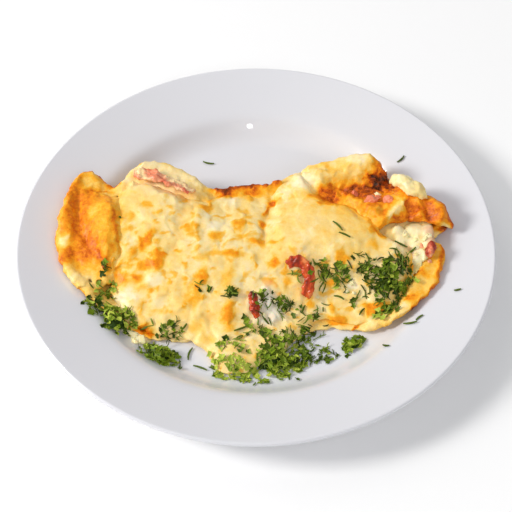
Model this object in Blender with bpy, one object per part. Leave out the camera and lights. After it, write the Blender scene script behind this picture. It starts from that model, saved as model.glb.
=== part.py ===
"""Folded omelette under melted cheese, served on a rimmed dinner plate.

The plate is turned about +Z and stands on its foot ring at z = 0. The omelette lies along X: one egg
sheet folded over at the back, a filling between its two leaves, a blanket of melted cheese on top, and
the ham, pepper, curd and herbs that lie on it. All lengths below are millimetres until they are built.

Each piece of food is a stack of heights over the plate: how high the sheet lies, how thick the omelette
is there, and what covers it. Every piece takes its top and bottom from that one stack, so they fit.
"""

import math

import bmesh
import bpy
import numpy as np

MM = 0.001
GAP = 0.5  # air between two pieces that touch

# The plate
PLATE_R = 135.0
RIM_Z = 24.0
SHOULDER_R = 97.0  # where the rim breaks down into the well
SHOULDER_Z = 14.0
FLOOR_R = 84.0
FLOOR_Z = 5.5
WALL_POWER = 1.6  # how hollow the well's wall is
FOOT_OUTER_R, FOOT_INNER_R = 87.0, 82.0
BASE_Z = 1.8  # underside inside the foot ring
RIM_THICKNESS = 4.2
PLATE_SEGMENTS = 64

# The egg sheet
LEAF = 3.5  # thickness of one leaf of the fold
FOLD_DEPTH = 5.0  # how far the round of the fold runs in from the back edge
COVER = 3.6  # thickness of the melted cheese
THIN_SHARE = 0.34  # most of the local height that one layer may take near an edge
SPAN = 140  # half the width of the height maps

# Driving curves of the omelette along X, as (x, value)
BACK_EDGE = [
    (-113, 6), (-110, 26), (-105, 39), (-100, 46), (-95, 46), (-89, 41), (-84, 36), (-79, 38), (-73, 46),
    (-64, 52), (-54, 52), (-46, 49), (-38, 44), (-30, 39), (-22, 35), (-14, 36), (0, 38.5), (10, 40),
    (18, 45), (28, 49), (42, 53), (58, 57), (67, 57), (74, 50), (80, 42), (88, 38.5), (96, 32), (103, 25),
    (109, 15), (111, 8),
]  # fmt: skip
FRONT_EDGE = [
    (-113, -5), (-110.5, -15), (-105, -27), (-98, -35), (-88, -43), (-75, -53), (-60, -61), (-45, -62),
    (-25, -62), (0, -62), (20, -59), (36, -54), (50, -55), (64, -55.5), (74, -53.5), (84, -48), (92, -41),
    (99, -32), (103.5, -23), (106, -14), (107.5, -6), (109.5, 0), (111, 4),
]  # fmt: skip
UPPER_LEAF_EDGE = [
    (-113, -5), (-110.5, -14.5), (-105, -26.5), (-98, -33), (-90, -37), (-82, -31), (-70, -25), (-40, -28),
    (0, -24), (30, -16), (55, -6), (66, 0), (76, 5), (88, 8), (98, 6), (106, 3), (111, 4),
]  # fmt: skip
THICKNESS = [
    (-113, 8), (-108, 12), (-100, 15), (-90, 17), (-80, 21), (-62, 24), (-40, 23), (-15, 22), (10, 22),
    (40, 23), (60, 23), (78, 20), (95, 16), (105, 12), (111, 8),
]  # fmt: skip
CHEESE_FRONT = [
    (-81, -10), (-79, -19), (-77, -30), (-73, -42), (-67, -51), (-59, -57.5), (-48, -61), (-36, -62),
    (-28, -68), (-20, -80), (-9, -82), (2, -78), (14, -70), (24, -60), (36, -50), (50, -52), (62, -52),
    (72, -48), (81, -38), (88, -24),
]  # fmt: skip
CHEESE_BACK = [
    (-81, 4), (-79, 23), (-74, 33), (-66, 34.5), (-55, 31), (-46, 26), (-38, 22), (-31, 24), (-25, 26),
    (-12, 26), (2, 26.5), (12, 30), (19, 41), (27, 45), (34, 34), (42, 24), (52, 20), (60, 13), (67, 5),
    (74, -1), (82, -6), (88, -13),
]  # fmt: skip
FILLING_FRONT = [(-76, -24), (-50, -38), (0, -38), (40, -34), (70, -34), (84, -29), (94, -19), (100, -7)]
FILLING_BACK = [(-76, 22), (-58, 34), (-26, 18), (0, 20), (40, 36), (66, 38), (78, 26), (92, 20), (100, 12)]

# Lobes and hollows of the folded sheet: centre line from one point to another, radius and height
FORMS = [
    ((-62, 26), (-50, 22), 24, 3.5),  # dome under the ham
    ((-72, 48), (-38, 41), 7, 2.5),  # lip of the fold behind the ham
    ((-68, 39), (-40, 27), 6, -3.0),  # bed that the ham lies in
    ((-12, 20), (2, 20), 16, -2.0),  # saddle at the middle of the back
    ((-20, 34), (10, 37), 5, 2.0),  # crisp edge behind the saddle
    ((26, 45), (68, 51), 11, 6.0),  # rolled lobe
    ((44, 30), (78, 37), 8, -6.0),  # toasted hollow below the lobe
    ((70, 9), (86, 22), 7, 3.5),  # front ruffle of the torn end
    ((88, 29), (104, 14), 7, 4.0),  # back ruffle of the torn end
    ((-99, 38), (-98, -16), 5, -3.0),  # crease of the browned flap
    ((-85, 8), (-84, -12), 9, 3.5),  # inner swell of the flap
    ((-86, 37), (-84, 29), 7, -4.0),  # notch between the flap and the dome
    ((10, 20), (6, -16), 9, -2.0),  # slack crease across the middle
    ((24, -6), (44, -12), 20, 2.5),  # front swell under the smooth cheese
    ((-44, -34), (-20, -42), 16, 2.0),  # front swell on the left
    ((98, -32), (105, -4), 6, 4.0),  # turned-up lip of the lower leaf
    ((72, -52), (92, -40), 5, 2.5),  # the same lip towards the front
]


def ramp(value, low, high):
    """0 below low, 1 above high, and straight between them."""
    return np.clip((value - low) / (high - low), 0.0, 1.0)


def smooth(t):
    """The ramp from 0 to 1 with both ends eased."""
    t = np.clip(t, 0.0, 1.0)
    return t * t * (3 - 2 * t)


def curve_through(points):
    """A smooth function of x through a few points."""
    xs, ys = np.array(points, float).T
    slopes = np.gradient(ys, xs)

    def value(x):
        x = np.clip(np.asarray(x, float), xs[0], xs[-1])
        i = np.clip(np.searchsorted(xs, x) - 1, 0, len(xs) - 2)
        step = xs[i + 1] - xs[i]
        t = (x - xs[i]) / step
        rise = ys[i + 1] - ys[i]
        turn_in = slopes[i] * step - rise
        turn_out = rise - slopes[i + 1] * step
        return ys[i] + rise * t + t * (1 - t) * (turn_in * (1 - t) + turn_out * t)

    return value


back_edge = curve_through(BACK_EDGE)
front_edge = curve_through(FRONT_EDGE)
upper_leaf_edge = curve_through(UPPER_LEAF_EDGE)
thickness = curve_through(THICKNESS)
cheese_front = curve_through(CHEESE_FRONT)
cheese_back = curve_through(CHEESE_BACK)
filling_front = curve_through(FILLING_FRONT)
filling_back = curve_through(FILLING_BACK)


# ---- The stack of heights ----------------------------------------------------------------------------


def plate_top(x, y):
    """Height of the plate's upper face."""
    r = np.hypot(x, y)
    wall = (SHOULDER_Z - FLOOR_Z) * ramp(r, FLOOR_R, SHOULDER_R) ** WALL_POWER
    rim = (RIM_Z - SHOULDER_Z) * ramp(r, SHOULDER_R, PLATE_R)
    return FLOOR_Z + wall + rim


def lie(x, y):
    """Height at which a sheet lies on the plate: it bridges the corner of the well."""
    shrink = 1 + 3.5 / np.maximum(np.hypot(x, y), 40.0)
    return plate_top(x * shrink, y * shrink) + GAP


def bed(x, y):
    """The plate's hollow as the top of the omelette feels it, much softened."""
    return FLOOR_Z + 13.5 * smooth(ramp(np.hypot(x, y), 66.0, 124.0))


def forms(x, y):
    """The sum of the lobes and hollows."""
    starts, ends, radii, heights = (np.array(column, float) for column in zip(*FORMS))
    here = np.stack(np.broadcast_arrays(x, y), axis=-1).astype(float)[..., None, :]
    along = ends - starts
    t = np.clip(((here - starts) * along).sum(axis=-1) / (along * along).sum(axis=-1), 0.0, 1.0)
    off = np.linalg.norm(here - starts - t[..., None] * along, axis=-1)
    return (heights * np.exp(-((off / radii) ** 2))).sum(axis=-1)


def skin(x, y):
    """Top of the whole omelette, cheese included."""
    front, back = front_edge(x), back_edge(x)
    v = (y - front) / np.maximum(back - front, 1.0)
    edge_share = 5.0 / thickness(x)
    rise = edge_share + (1 - edge_share) * smooth(v / 0.5)
    fall = 0.16 * smooth((v - 0.72) / 0.28)
    inside = smooth(ramp(v, -0.02, 0.12)) * smooth(ramp(1 - v, -0.02, 0.08))
    top = bed(x, y) + thickness(x) * (rise - fall) + forms(x, y) * (0.25 + 0.75 * inside)
    return np.maximum(top, lie(x, y) + 3.6)


def layer(x, y, most):
    """Thickness of a layer here: its own, or a share of the local height where that is little."""
    return np.minimum(most, THIN_SHARE * (skin(x, y) - lie(x, y)))


def under_cheese(x, y):
    """1 where the cheese lies, fading to 0 just outside its edge."""
    sides = np.minimum(x - CHEESE_FRONT[0][0], CHEESE_FRONT[-1][0] - x)
    ends = np.minimum(y - cheese_front(x), cheese_back(x) - y)
    return smooth(ramp(np.minimum(sides, ends), -4.0, 1.5))


def lower_leaf_top(x, y):
    return lie(x, y) + layer(x, y, LEAF)


def upper_leaf_top(x, y):
    return skin(x, y) - layer(x, y, COVER) * under_cheese(x, y)


def upper_leaf_under(x, y):
    top = upper_leaf_top(x, y)
    return top - np.minimum(LEAF, 0.45 * (top - lower_leaf_top(x, y)))


def filling_top(x, y):
    """The filling's top: under the upper leaf, and lower in the open end, where it has slumped."""
    covered = upper_leaf_under(x, y) - GAP
    slump = 5.0 * smooth(ramp(x, 68.0, 88.0))
    bare = upper_leaf_top(x, y) - GAP - np.minimum(slump, 0.3 * (upper_leaf_top(x, y) - lie(x, y)))
    return np.where(y > upper_leaf_edge(x) - 1.0, covered, bare)


def within(x, y, front, back, ends, margin=1.0):
    """True inside the outline between a front and a back curve, a little more than its true size."""
    inside_x = (x > ends[0] - margin) & (x < ends[1] + margin)
    return inside_x & (y > front(x) - margin) & (y < back(x) + margin)


def highest_near(layer):
    """The map raised to the highest value within two cells, so that a facet over it stays clear."""
    for axis in (0, 1):
        layer = np.max([np.roll(layer, shift, axis) for shift in (-2, -1, 0, 1, 2)], axis=0)
    return layer


def sample(layer, x, y):
    """Height of a map at any point, from its four nearest cells."""
    x, y = (np.clip(np.asarray(v, float) + SPAN, 0.0, 2 * SPAN - 0.001) for v in (x, y))
    i, j = x.astype(int), y.astype(int)
    u, v = x - i, y - j
    near = layer[i, j] * (1 - v) + layer[i, j + 1] * v
    far = layer[i + 1, j] * (1 - v) + layer[i + 1, j + 1] * v
    return near * (1 - u) + far * u


EGG_ENDS = (BACK_EDGE[0][0], BACK_EDGE[-1][0])
CHEESE_ENDS = (CHEESE_FRONT[0][0], CHEESE_FRONT[-1][0])
FILLING_ENDS = (FILLING_FRONT[0][0], FILLING_FRONT[-1][0])


class Stack:
    """Height maps, one value a millimetre, of the layers that others lie on."""

    def __init__(self):
        axis = np.arange(-SPAN, SPAN + 1.0)
        x, y = np.meshgrid(axis, axis, indexing="ij")
        leaf = within(x, y, front_edge, back_edge, EGG_ENDS)
        lower = np.where(leaf, lower_leaf_top(x, y), plate_top(x, y))
        self.filling_under = highest_near(lower) + 2 * GAP
        slack = -highest_near(-filling_top(x, y)) - 0.5 * GAP
        self.filling_top = np.maximum(slack, self.filling_under + 0.8)

        filled = within(x, y, filling_front, filling_back, FILLING_ENDS, 3.0)
        egg = np.where(filled, np.maximum(lower, self.filling_top), lower)
        upper = within(x, y, upper_leaf_edge, back_edge, EGG_ENDS)
        egg = np.where(upper, np.maximum(egg, upper_leaf_top(x, y)), egg)
        self.cheese_under = highest_near(egg) + GAP
        self.cheese_top = self.blanket(x, y)

        cheese = within(x, y, cheese_front, cheese_back, CHEESE_ENDS)
        table = np.where(cheese, np.maximum(egg, self.cheese_top), egg)
        self.toppings = highest_near(highest_near(table)) + GAP

    def blanket(self, x, y):
        """The cheese's top, thinned to a round edge."""
        depth = np.minimum(y - cheese_front(x), cheese_back(x) - y)
        ends = np.minimum(x - CHEESE_ENDS[0], CHEESE_ENDS[1] - x)
        depth = np.minimum(depth, ends * 0.6 + 1.0)
        edge = self.cheese_under + 1.4
        full = np.maximum(skin(x, y) + 0.4, edge + 0.2)
        return edge + (full - edge) * np.sqrt(ramp(depth, 0.0, 7.0))


# ---- Building the solids -----------------------------------------------------------------------------


def clear_scene():
    for obj in list(bpy.data.objects):
        bpy.data.objects.remove(obj, do_unlink=True)


def material(name, colour, roughness):
    mat = bpy.data.materials.new(name)
    mat.use_nodes = True
    shader = mat.node_tree.nodes["Principled BSDF"]
    shader.inputs["Base Color"].default_value = (*colour, 1.0)
    shader.inputs["Roughness"].default_value = roughness
    shader.inputs["Metallic"].default_value = 0.0
    return mat


def solid(name, points, faces, mat):
    """One closed object from points in millimetres, its origin at their middle."""
    points = np.array(points, float) * MM
    middle = (points.min(axis=0) + points.max(axis=0)) / 2
    mesh = bpy.data.meshes.new(name)
    mesh.from_pydata([tuple(p - middle) for p in points], [], faces)
    tidy = bmesh.new()
    tidy.from_mesh(mesh)
    bmesh.ops.remove_doubles(tidy, verts=tidy.verts, dist=0.02 * MM)
    bmesh.ops.recalc_face_normals(tidy, faces=tidy.faces)
    tidy.to_mesh(mesh)
    tidy.free()
    mesh.shade_smooth()
    mesh.set_sharp_from_angle(angle=math.radians(50))
    mesh.materials.append(mat)
    obj = bpy.data.objects.new(name, mesh)
    obj.location = middle
    bpy.context.scene.collection.objects.link(obj)
    return obj


def loft(name, rings, mat):
    """A solid through closed rings of equally many points, capped at both ends."""
    count = len(rings[0])
    points = [p for ring in rings for p in ring]
    faces = [tuple(range(count))]
    for i in range(len(rings) - 1):
        for j in range(count):
            k = (j + 1) % count
            faces.append((i * count + j, (i + 1) * count + j, (i + 1) * count + k, i * count + k))
    last = (len(rings) - 1) * count
    faces.append(tuple(range(last + count - 1, last - 1, -1)))
    return solid(name, points, faces, mat)


def stations(ends, step, fine=3.0, reach=12.0):
    """X positions between two ends, closer together near both of them."""
    middle = np.arange(ends[0] + reach, ends[1] - reach + step / 2, step)
    rim = np.arange(0.0, reach, fine)
    return np.unique(np.round(np.concatenate([ends[0] + rim, middle, ends[1] - rim]), 3))


def spread(low, high, count, bias=1.0):
    """Positions from low to high, gathered towards low where bias is over 1."""
    return low + (high - low) * np.linspace(0.0, 1.0, count) ** bias


def build_plate(mat):
    """The plate, its profile turned by a Screw."""
    floor = [(r, FLOOR_Z) for r in (0.0, 45.0)]
    wall = [(r, plate_top(r, 0.0)) for r in np.linspace(FLOOR_R, SHOULDER_R, 6)]
    rim = [(r, plate_top(r, 0.0)) for r in (SHOULDER_R + 1.5, 115.0, PLATE_R - 2.0)]
    lip = [(PLATE_R - 0.4, RIM_Z - 0.6), (PLATE_R, RIM_Z - 1.8), (PLATE_R - 0.8, RIM_Z - 3.2)]
    under = [
        (118.0, plate_top(118.0, 0.0) - RIM_THICKNESS),
        (SHOULDER_R + 3.0, SHOULDER_Z - RIM_THICKNESS),
        (FOOT_OUTER_R + 2.0, 4.0),
    ]
    foot = [
        (FOOT_OUTER_R + 0.3, 0.5),
        (FOOT_OUTER_R, 0.0),
        (FOOT_INNER_R, 0.0),
        (FOOT_INNER_R - 1.0, BASE_Z),
        (0.0, BASE_Z),
    ]
    profile = floor + wall + rim + lip + under + foot
    mesh = bpy.data.meshes.new("plate")
    points = [(r * MM, 0.0, z * MM) for r, z in profile]
    mesh.from_pydata(points, [(i, i + 1) for i in range(len(points) - 1)], [])
    mesh.materials.append(mat)
    plate = bpy.data.objects.new("plate", mesh)
    bpy.context.scene.collection.objects.link(plate)
    turn = plate.modifiers.new("turn", "SCREW")
    turn.angle = math.tau
    turn.steps = turn.render_steps = PLATE_SEGMENTS
    turn.use_merge_vertices = True
    turn.merge_threshold = 0.00001
    turn.use_smooth_shade = True
    return plate


def egg_ring(x):
    """Section of the folded sheet at one X: two leaves, joined by the round of the fold at the back."""
    front, back, lip = front_edge(x), back_edge(x), upper_leaf_edge(x)
    depth = min(FOLD_DEPTH, 0.3 * (back - front))
    fold = back - depth
    lip = min(lip, fold - 1.0)
    low_y = spread(front + 0.8, fold, 9, 1.3)
    top_y = spread(lip + 0.6, fold, 11)
    bottom, top = lie(x, low_y), upper_leaf_top(x, top_y)
    z0, z1 = lie(x, fold), upper_leaf_top(x, fold)
    ring = [(x, y, z) for y, z in zip(low_y, bottom)]
    for angle in (-55, -20, 20, 55):
        a = math.radians(angle)
        ring.append((x, fold + depth * math.cos(a), z0 + (z1 - z0) * (0.5 + 0.5 * math.sin(a))))
    ring += [(x, y, z) for y, z in zip(top_y[::-1], top[::-1])]
    under_lip = upper_leaf_under(x, lip + 0.6)
    ring.append((x, lip, (top[0] + under_lip) / 2))
    inner_top = spread(lip + 0.6, fold - 1.0, 7)
    ring += [(x, y, upper_leaf_under(x, y)) for y in inner_top]
    inner_low = spread(front + 0.8, fold - 1.0, 9, 1.3)[::-1]
    middle = (upper_leaf_under(x, fold - 1.0) + lower_leaf_top(x, fold - 1.0)) / 2
    ring.append((x, fold, middle))
    ring += [(x, y, lower_leaf_top(x, y)) for y in inner_low]
    ring.append((x, front, (bottom[0] + lower_leaf_top(x, front + 0.8)) / 2))
    return ring


def crowded(front, back, edges, counts):
    """Positions across a section, two of them close together just before each edge that lies below."""
    if back - front < 14.0:
        return spread(front, back, sum(counts))
    parts = []
    for i, edge in enumerate(edges):
        edge = min(max(edge, front + 4.5), back - 5.0 * (len(edges) - i) + 2.0)
        parts.append(spread(front, edge - 3.7, counts[i]))
        front = edge - 2.0
    parts.append(spread(front, back, counts[-1]))
    return np.concatenate(parts)


def slab_ring(x, front, back, top, under, edges, counts):
    """Section at one X of a layer between two height maps, both its edges rounded."""
    upper = crowded(front + 0.8, back - 0.8, edges, counts)
    lower = upper[::-1]
    high, low = sample(top, x, upper), sample(under, x, lower)
    ring = [(x, y, z) for y, z in zip(upper, high)]
    ring.append((x, back, (high[-1] + low[0]) / 2))
    ring += [(x, y, z) for y, z in zip(lower, low)]
    ring.append((x, front, (high[0] + low[-1]) / 2))
    return ring


def build_egg(mat):
    return loft("egg_sheet", [egg_ring(x) for x in stations(EGG_ENDS, 6.0)], mat)


def build_filling(stack, mat):
    rings = []
    for x in stations(FILLING_ENDS, 8.0, 4.0, 8.0):
        ends = filling_front(x), filling_back(x)
        edges = (upper_leaf_edge(x),)
        rings.append(slab_ring(x, *ends, stack.filling_top, stack.filling_under, edges, (4, 6)))
    return loft("filling", rings, mat)


def build_cheese(stack, mat):
    rings = []
    for x in stations(CHEESE_ENDS, 6.0):
        ends = cheese_front(x), cheese_back(x)
        edges = (front_edge(x), upper_leaf_edge(x))
        rings.append(slab_ring(x, *ends, stack.cheese_top, stack.cheese_under, edges, (3, 4, 9)))
    return loft("melted_cheese", rings, mat)


def mound(stack, name, centre, radii, turn, height, mat, lumps=0.0, rings=4, spokes=16):
    """A heap or lump on what lies below it: a dome over an oval, its top lumpy and its rim uneven."""
    c, s = math.cos(math.radians(turn)), math.sin(math.radians(turn))
    spots, domes = [centre], [1.0]
    for i in range(spokes):
        angle = math.tau * i / spokes
        reach = 1 + 0.5 * lumps * math.sin(3 * angle + centre[0]) * math.cos(2 * angle + centre[1])
        for k in range(1, rings + 1):
            share = math.sin(0.5 * math.pi * k / rings) * reach
            u, v = radii[0] * share * math.cos(angle), radii[1] * share * math.sin(angle)
            spots.append((centre[0] + u * c - v * s, centre[1] + u * s + v * c))
            domes.append(max(0.0, math.cos(0.5 * math.pi * k / rings)) ** 0.8)
    x, y = np.array(spots).T
    low = sample(stack.toppings, x, y)
    ripple = 1 + lumps * np.sin(0.9 * x + centre[1]) * np.cos(0.8 * y - centre[0])
    high = low + 0.9 + height * np.array(domes) * ripple
    points = [(*spot, z) for spot, z in zip(spots, low)] + [(*spot, z) for spot, z in zip(spots, high)]
    up = len(spots)
    faces = []
    for i in range(spokes):
        here, after = 1 + i * rings, 1 + (i + 1) % spokes * rings
        faces += [(0, after, here), (up, up + here, up + after)]
        for k in range(rings - 1):
            a, b, far_b, far_a = here + k, after + k, after + k + 1, here + k + 1
            faces += [(a, b, far_b, far_a), (up + a, up + far_a, up + far_b, up + b)]
        a, b = here + rings - 1, after + rings - 1
        faces.append((a, b, up + b, up + a))
    return solid(name, points, faces, mat)


def strip(stack, name, path, width, thick, mat, steps=10):
    """A strip of food that lies along a few points, following what is below it."""
    path = np.array(path, float)
    t = np.linspace(0, len(path) - 1, steps)
    line = np.stack([np.interp(t, range(len(path)), path[:, k]) for k in (0, 1)], axis=1)
    for _ in range(2):
        line[1:-1] = (line[:-2] + 2 * line[1:-1] + line[2:]) / 4
    along = np.gradient(line, axis=0)
    along /= np.linalg.norm(along, axis=1)[:, None]
    rings = []
    for i, (spot, (ax, ay)) in enumerate(zip(line, along)):
        taper = 0.55 + 0.45 * math.sin(math.pi * (i + 0.5) / steps) ** 0.5
        sides = np.array([-0.5, -0.25, 0.25, 0.5]) * width * taper
        x, y = spot[0] - ay * sides, spot[1] + ax * sides
        low = sample(stack.toppings, x, y)
        high = low + thick * taper * np.array([0.5, 1.0, 1.0, 0.5])
        rings.append([*zip(x, y, low), *zip(x[::-1], y[::-1], high[::-1])])
    return loft(name, rings, mat)


def main():
    clear_scene()
    glaze = material("glazed_white", (0.80, 0.80, 0.82), 0.12)
    egg = material("fried_egg", (0.83, 0.42, 0.10), 0.45)
    cheese = material("melted_cheese", (0.93, 0.72, 0.33), 0.35)
    curd = material("soft_curd", (0.88, 0.78, 0.52), 0.4)
    ham = material("cooked_ham", (0.80, 0.36, 0.26), 0.4)
    pepper = material("roast_pepper", (0.50, 0.07, 0.02), 0.25)
    herb = material("chopped_herb", (0.10, 0.20, 0.02), 0.6)

    stack = Stack()
    build_plate(glaze)
    build_egg(egg)
    build_filling(stack, curd)
    build_cheese(stack, cheese)
    ham_path = [(-71, 38.5), (-62, 38), (-53, 34.5), (-44, 29.5), (-37, 24.5)]
    strip(stack, "ham_slice", ham_path, 8.0, 2.2, ham)
    pepper_path = [(17, -25), (22, -22), (27, -23), (29.5, -29), (30, -35), (27, -40)]
    strip(stack, "pepper_strip", pepper_path, 7.0, 3.0, pepper)
    mound(stack, "pepper_bit", (-1, -46), (6.5, 3.0), 100, 2.4, pepper, 0.1, rings=3, spokes=10)
    mound(stack, "ham_bit", (97, -10), (5.0, 3.0), 75, 2.6, ham, 0.1, rings=3, spokes=10)
    mound(stack, "curd_lump", (87, 28), (10.5, 5.5), -38, 4.5, curd, 0.1, rings=3, spokes=12)
    mound(stack, "herb_heap_front", (12, -75), (26, 9.5), 4, 5.0, herb, 0.25, spokes=20)
    mound(stack, "herb_tuft_left", (-76, -54), (11, 9), -30, 5.5, herb, 0.2)
    mound(stack, "herb_tuft_low", (-53, -72), (13, 7), -25, 4.5, herb, 0.2)
    mound(stack, "herb_heap_right", (74, -31), (14, 13), 60, 4.0, herb, 0.25)
    mound(stack, "herb_sprig_front", (54, -64), (8, 4.5), 35, 2.6, herb, 0.2, rings=3, spokes=12)


main()
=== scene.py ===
# %% [markdown]
# # A folded omelette on a dinner plate
#
# This notebook dresses a plain model of a plated omelette. The plain model, the frame, is already the
# right size: a 270 mm plate, one egg sheet folded over a filling, a blanket of melted cheese, ham, red
# pepper and heaps of chopped herbs. Here every piece gets its real surface.
#
# Three ideas run through it. Food is never flat, so each piece is remeshed into small even faces and
# then pushed about by ridges, grooves and noise. Food is never one colour, so how far each spot is baked
# is painted as a single number, and one colour ramp turns that number into cream, gold, orange or brown.
# And loose things are loose: every leaf is dropped on the finished surface by a ray.

# %% Open the frame
import math
import random

import bmesh
import bpy
import numpy as np
from mathutils import Matrix, Vector, noise
from mathutils.bvhtree import BVHTree
from mathutils.kdtree import KDTree


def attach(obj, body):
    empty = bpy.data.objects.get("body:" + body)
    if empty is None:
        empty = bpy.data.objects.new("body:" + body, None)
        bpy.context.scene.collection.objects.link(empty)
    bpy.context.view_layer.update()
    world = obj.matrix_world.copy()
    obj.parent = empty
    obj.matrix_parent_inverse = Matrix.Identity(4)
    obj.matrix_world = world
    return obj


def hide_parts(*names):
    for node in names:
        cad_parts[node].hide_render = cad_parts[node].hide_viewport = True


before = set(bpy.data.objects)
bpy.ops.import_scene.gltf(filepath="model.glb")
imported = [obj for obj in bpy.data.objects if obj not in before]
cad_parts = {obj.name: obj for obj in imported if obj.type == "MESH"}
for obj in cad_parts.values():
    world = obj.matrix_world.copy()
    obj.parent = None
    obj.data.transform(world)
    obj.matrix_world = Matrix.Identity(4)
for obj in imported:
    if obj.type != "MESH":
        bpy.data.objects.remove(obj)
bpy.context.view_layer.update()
MM = 0.001
print("nodes:", ", ".join(sorted(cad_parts)))

# %% [markdown]
# ## Colours
#
# Colours are easiest to name the way a screen shows them, from 0 to 255. Blender's shaders count light
# instead, so each value is turned into linear light once, here.


# %% Name colours by their screen values
def screen(red, green, blue):
    """A linear RGBA colour from screen values between 0 and 255."""
    shares = [value / 255 for value in (red, green, blue)]
    linear = [share / 12.92 if share <= 0.04 else ((share + 0.055) / 1.055) ** 2.4 for share in shares]
    return (*linear, 1.0)


print("cheese cream in linear light:", [round(v, 3) for v in screen(252, 228, 170)])

# %% [markdown]
# ## Writing materials
#
# A material is a small graph of nodes. The class below keeps the graph short to write: each method adds
# one node, wires what goes into it, and returns what comes out. All patterns read Object coordinates, so
# a noise of scale 500 has its features about 2 mm apart.


# %% A short way to write a material
class Finish:
    """One material being written, around a Principled shader."""

    def __init__(self, name):
        self.material = bpy.data.materials.new(name)
        self.material.use_nodes = True
        self.nodes = self.material.node_tree.nodes
        self.links = self.material.node_tree.links
        self.shader = self.nodes["Principled BSDF"]
        self.place = self.nodes.new("ShaderNodeTexCoord").outputs["Object"]

    def put(self, socket, value):
        """Wires an output into a socket, or sets a plain value on it."""
        if isinstance(value, bpy.types.NodeSocket):
            self.links.new(value, socket)
        else:
            socket.default_value = value

    def noise(self, scale, detail=3.0, roughness=0.55):
        """A cloudy pattern from 0 to 1; more detail adds ever finer clouds, as strong as roughness says."""
        node = self.nodes.new("ShaderNodeTexNoise")
        self.links.new(self.place, node.inputs["Vector"])
        node.inputs["Scale"].default_value = scale
        node.inputs["Detail"].default_value = detail
        node.inputs["Roughness"].default_value = roughness
        return node.outputs["Fac"]

    def painted(self, name):
        """The number painted on the mesh under this name."""
        node = self.nodes.new("ShaderNodeAttribute")
        node.attribute_name = name
        return node.outputs["Fac"]

    def math(self, operation, a, b):
        """The sum, product and so on of two numbers."""
        node = self.nodes.new("ShaderNodeMath")
        node.operation = operation
        for socket, value in zip(node.inputs, (a, b)):
            self.put(socket, value)
        return node.outputs["Value"]

    def swing(self, pattern, amount):
        """A pattern from 0 to 1 turned into one that swings about zero, this much from end to end."""
        return self.math("MULTIPLY", self.math("SUBTRACT", pattern, 0.5), amount)

    def stretch(self, value, low, high, to_low=0.0, to_high=1.0):
        """Maps low..high onto to_low..to_high and holds it there outside."""
        node = self.nodes.new("ShaderNodeMapRange")
        for socket, number in zip(node.inputs, (value, low, high, to_low, to_high)):
            self.put(socket, number)
        return node.outputs["Result"]

    def ramp(self, value, stops):
        """Colours along a number: stops are (place, colour)."""
        node = self.nodes.new("ShaderNodeValToRGB")
        self.links.new(value, node.inputs["Fac"])
        points = node.color_ramp.elements
        while len(points) < len(stops):
            points.new(0.5)
        for point, (place, colour) in zip(points, stops):
            point.position = place
            point.color = colour
        return node.outputs["Color"]

    def mix(self, factor, a, b, blend="MIX"):
        """Colour b laid over colour a, as much as the factor says."""
        node = self.nodes.new("ShaderNodeMix")
        node.data_type = "RGBA"
        node.blend_type = blend
        self.put(node.inputs["Factor"], factor)
        self.put(node.inputs["A"], a)
        self.put(node.inputs["B"], b)
        return node.outputs["Result"]

    def bump(self, height, depth, strength=1.0, below=None):
        """Fine relief of this depth in metres; below is a coarser bump it adds to."""
        node = self.nodes.new("ShaderNodeBump")
        self.links.new(height, node.inputs["Height"])
        node.inputs["Distance"].default_value = depth
        node.inputs["Strength"].default_value = strength
        if below is not None:
            self.links.new(below, node.inputs["Normal"])
        return node.outputs["Normal"]

    def wear(self, **sockets):
        """Sets or wires sockets of the Principled shader, named with _ for spaces."""
        for name, value in sockets.items():
            self.put(self.shader.inputs[name.replace("_", " ").title().replace("Ior", "IOR")], value)
        return self.material


def dress(piece, material):
    """Gives a piece one material all over."""
    piece.data.materials.clear()
    piece.data.materials.append(material)


# %% [markdown]
# ## The plate
#
# A rimmed dinner plate is turned: every section through its axis is the same, so one profile swept round
# makes all of it. The frame's plate is faceted. This one is swept in 192 steps from a profile whose
# corners are eased the way slip and glaze ease them: the wall of the well rises out of the floor in a
# curve and meets the wide rim in a soft ridge, the shoulder, and the lip is a full round.
#
# The spin and the merge hand their faces back in a new order each time. They are sorted, so the mesh is
# the same in every run.

# %% Turn the plate
PLATE_R, RIM_Z = 135.0, 24.0
SHOULDER_R, SHOULDER_Z = 99.6, 14.5
FLOOR_R, FLOOR_Z = 83.0, 5.5
WALL_SLOPE = math.tan(math.radians(40))
FOOT_R, FOOT_WIDTH = 87.0, 5.0
BASE_Z = 1.8
TURNS = 192


def eased(points, rounds=2):
    """Cuts the corners of a line of points, so that it bends softly through them."""
    for _ in range(rounds):
        cut = [points[0]]
        for a, b in zip(points, points[1:]):
            cut.append(tuple(0.75 * p + 0.25 * q for p, q in zip(a, b)))
            cut.append(tuple(0.25 * p + 0.75 * q for p, q in zip(a, b)))
        points = [*cut, points[-1]]
    return points


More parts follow.
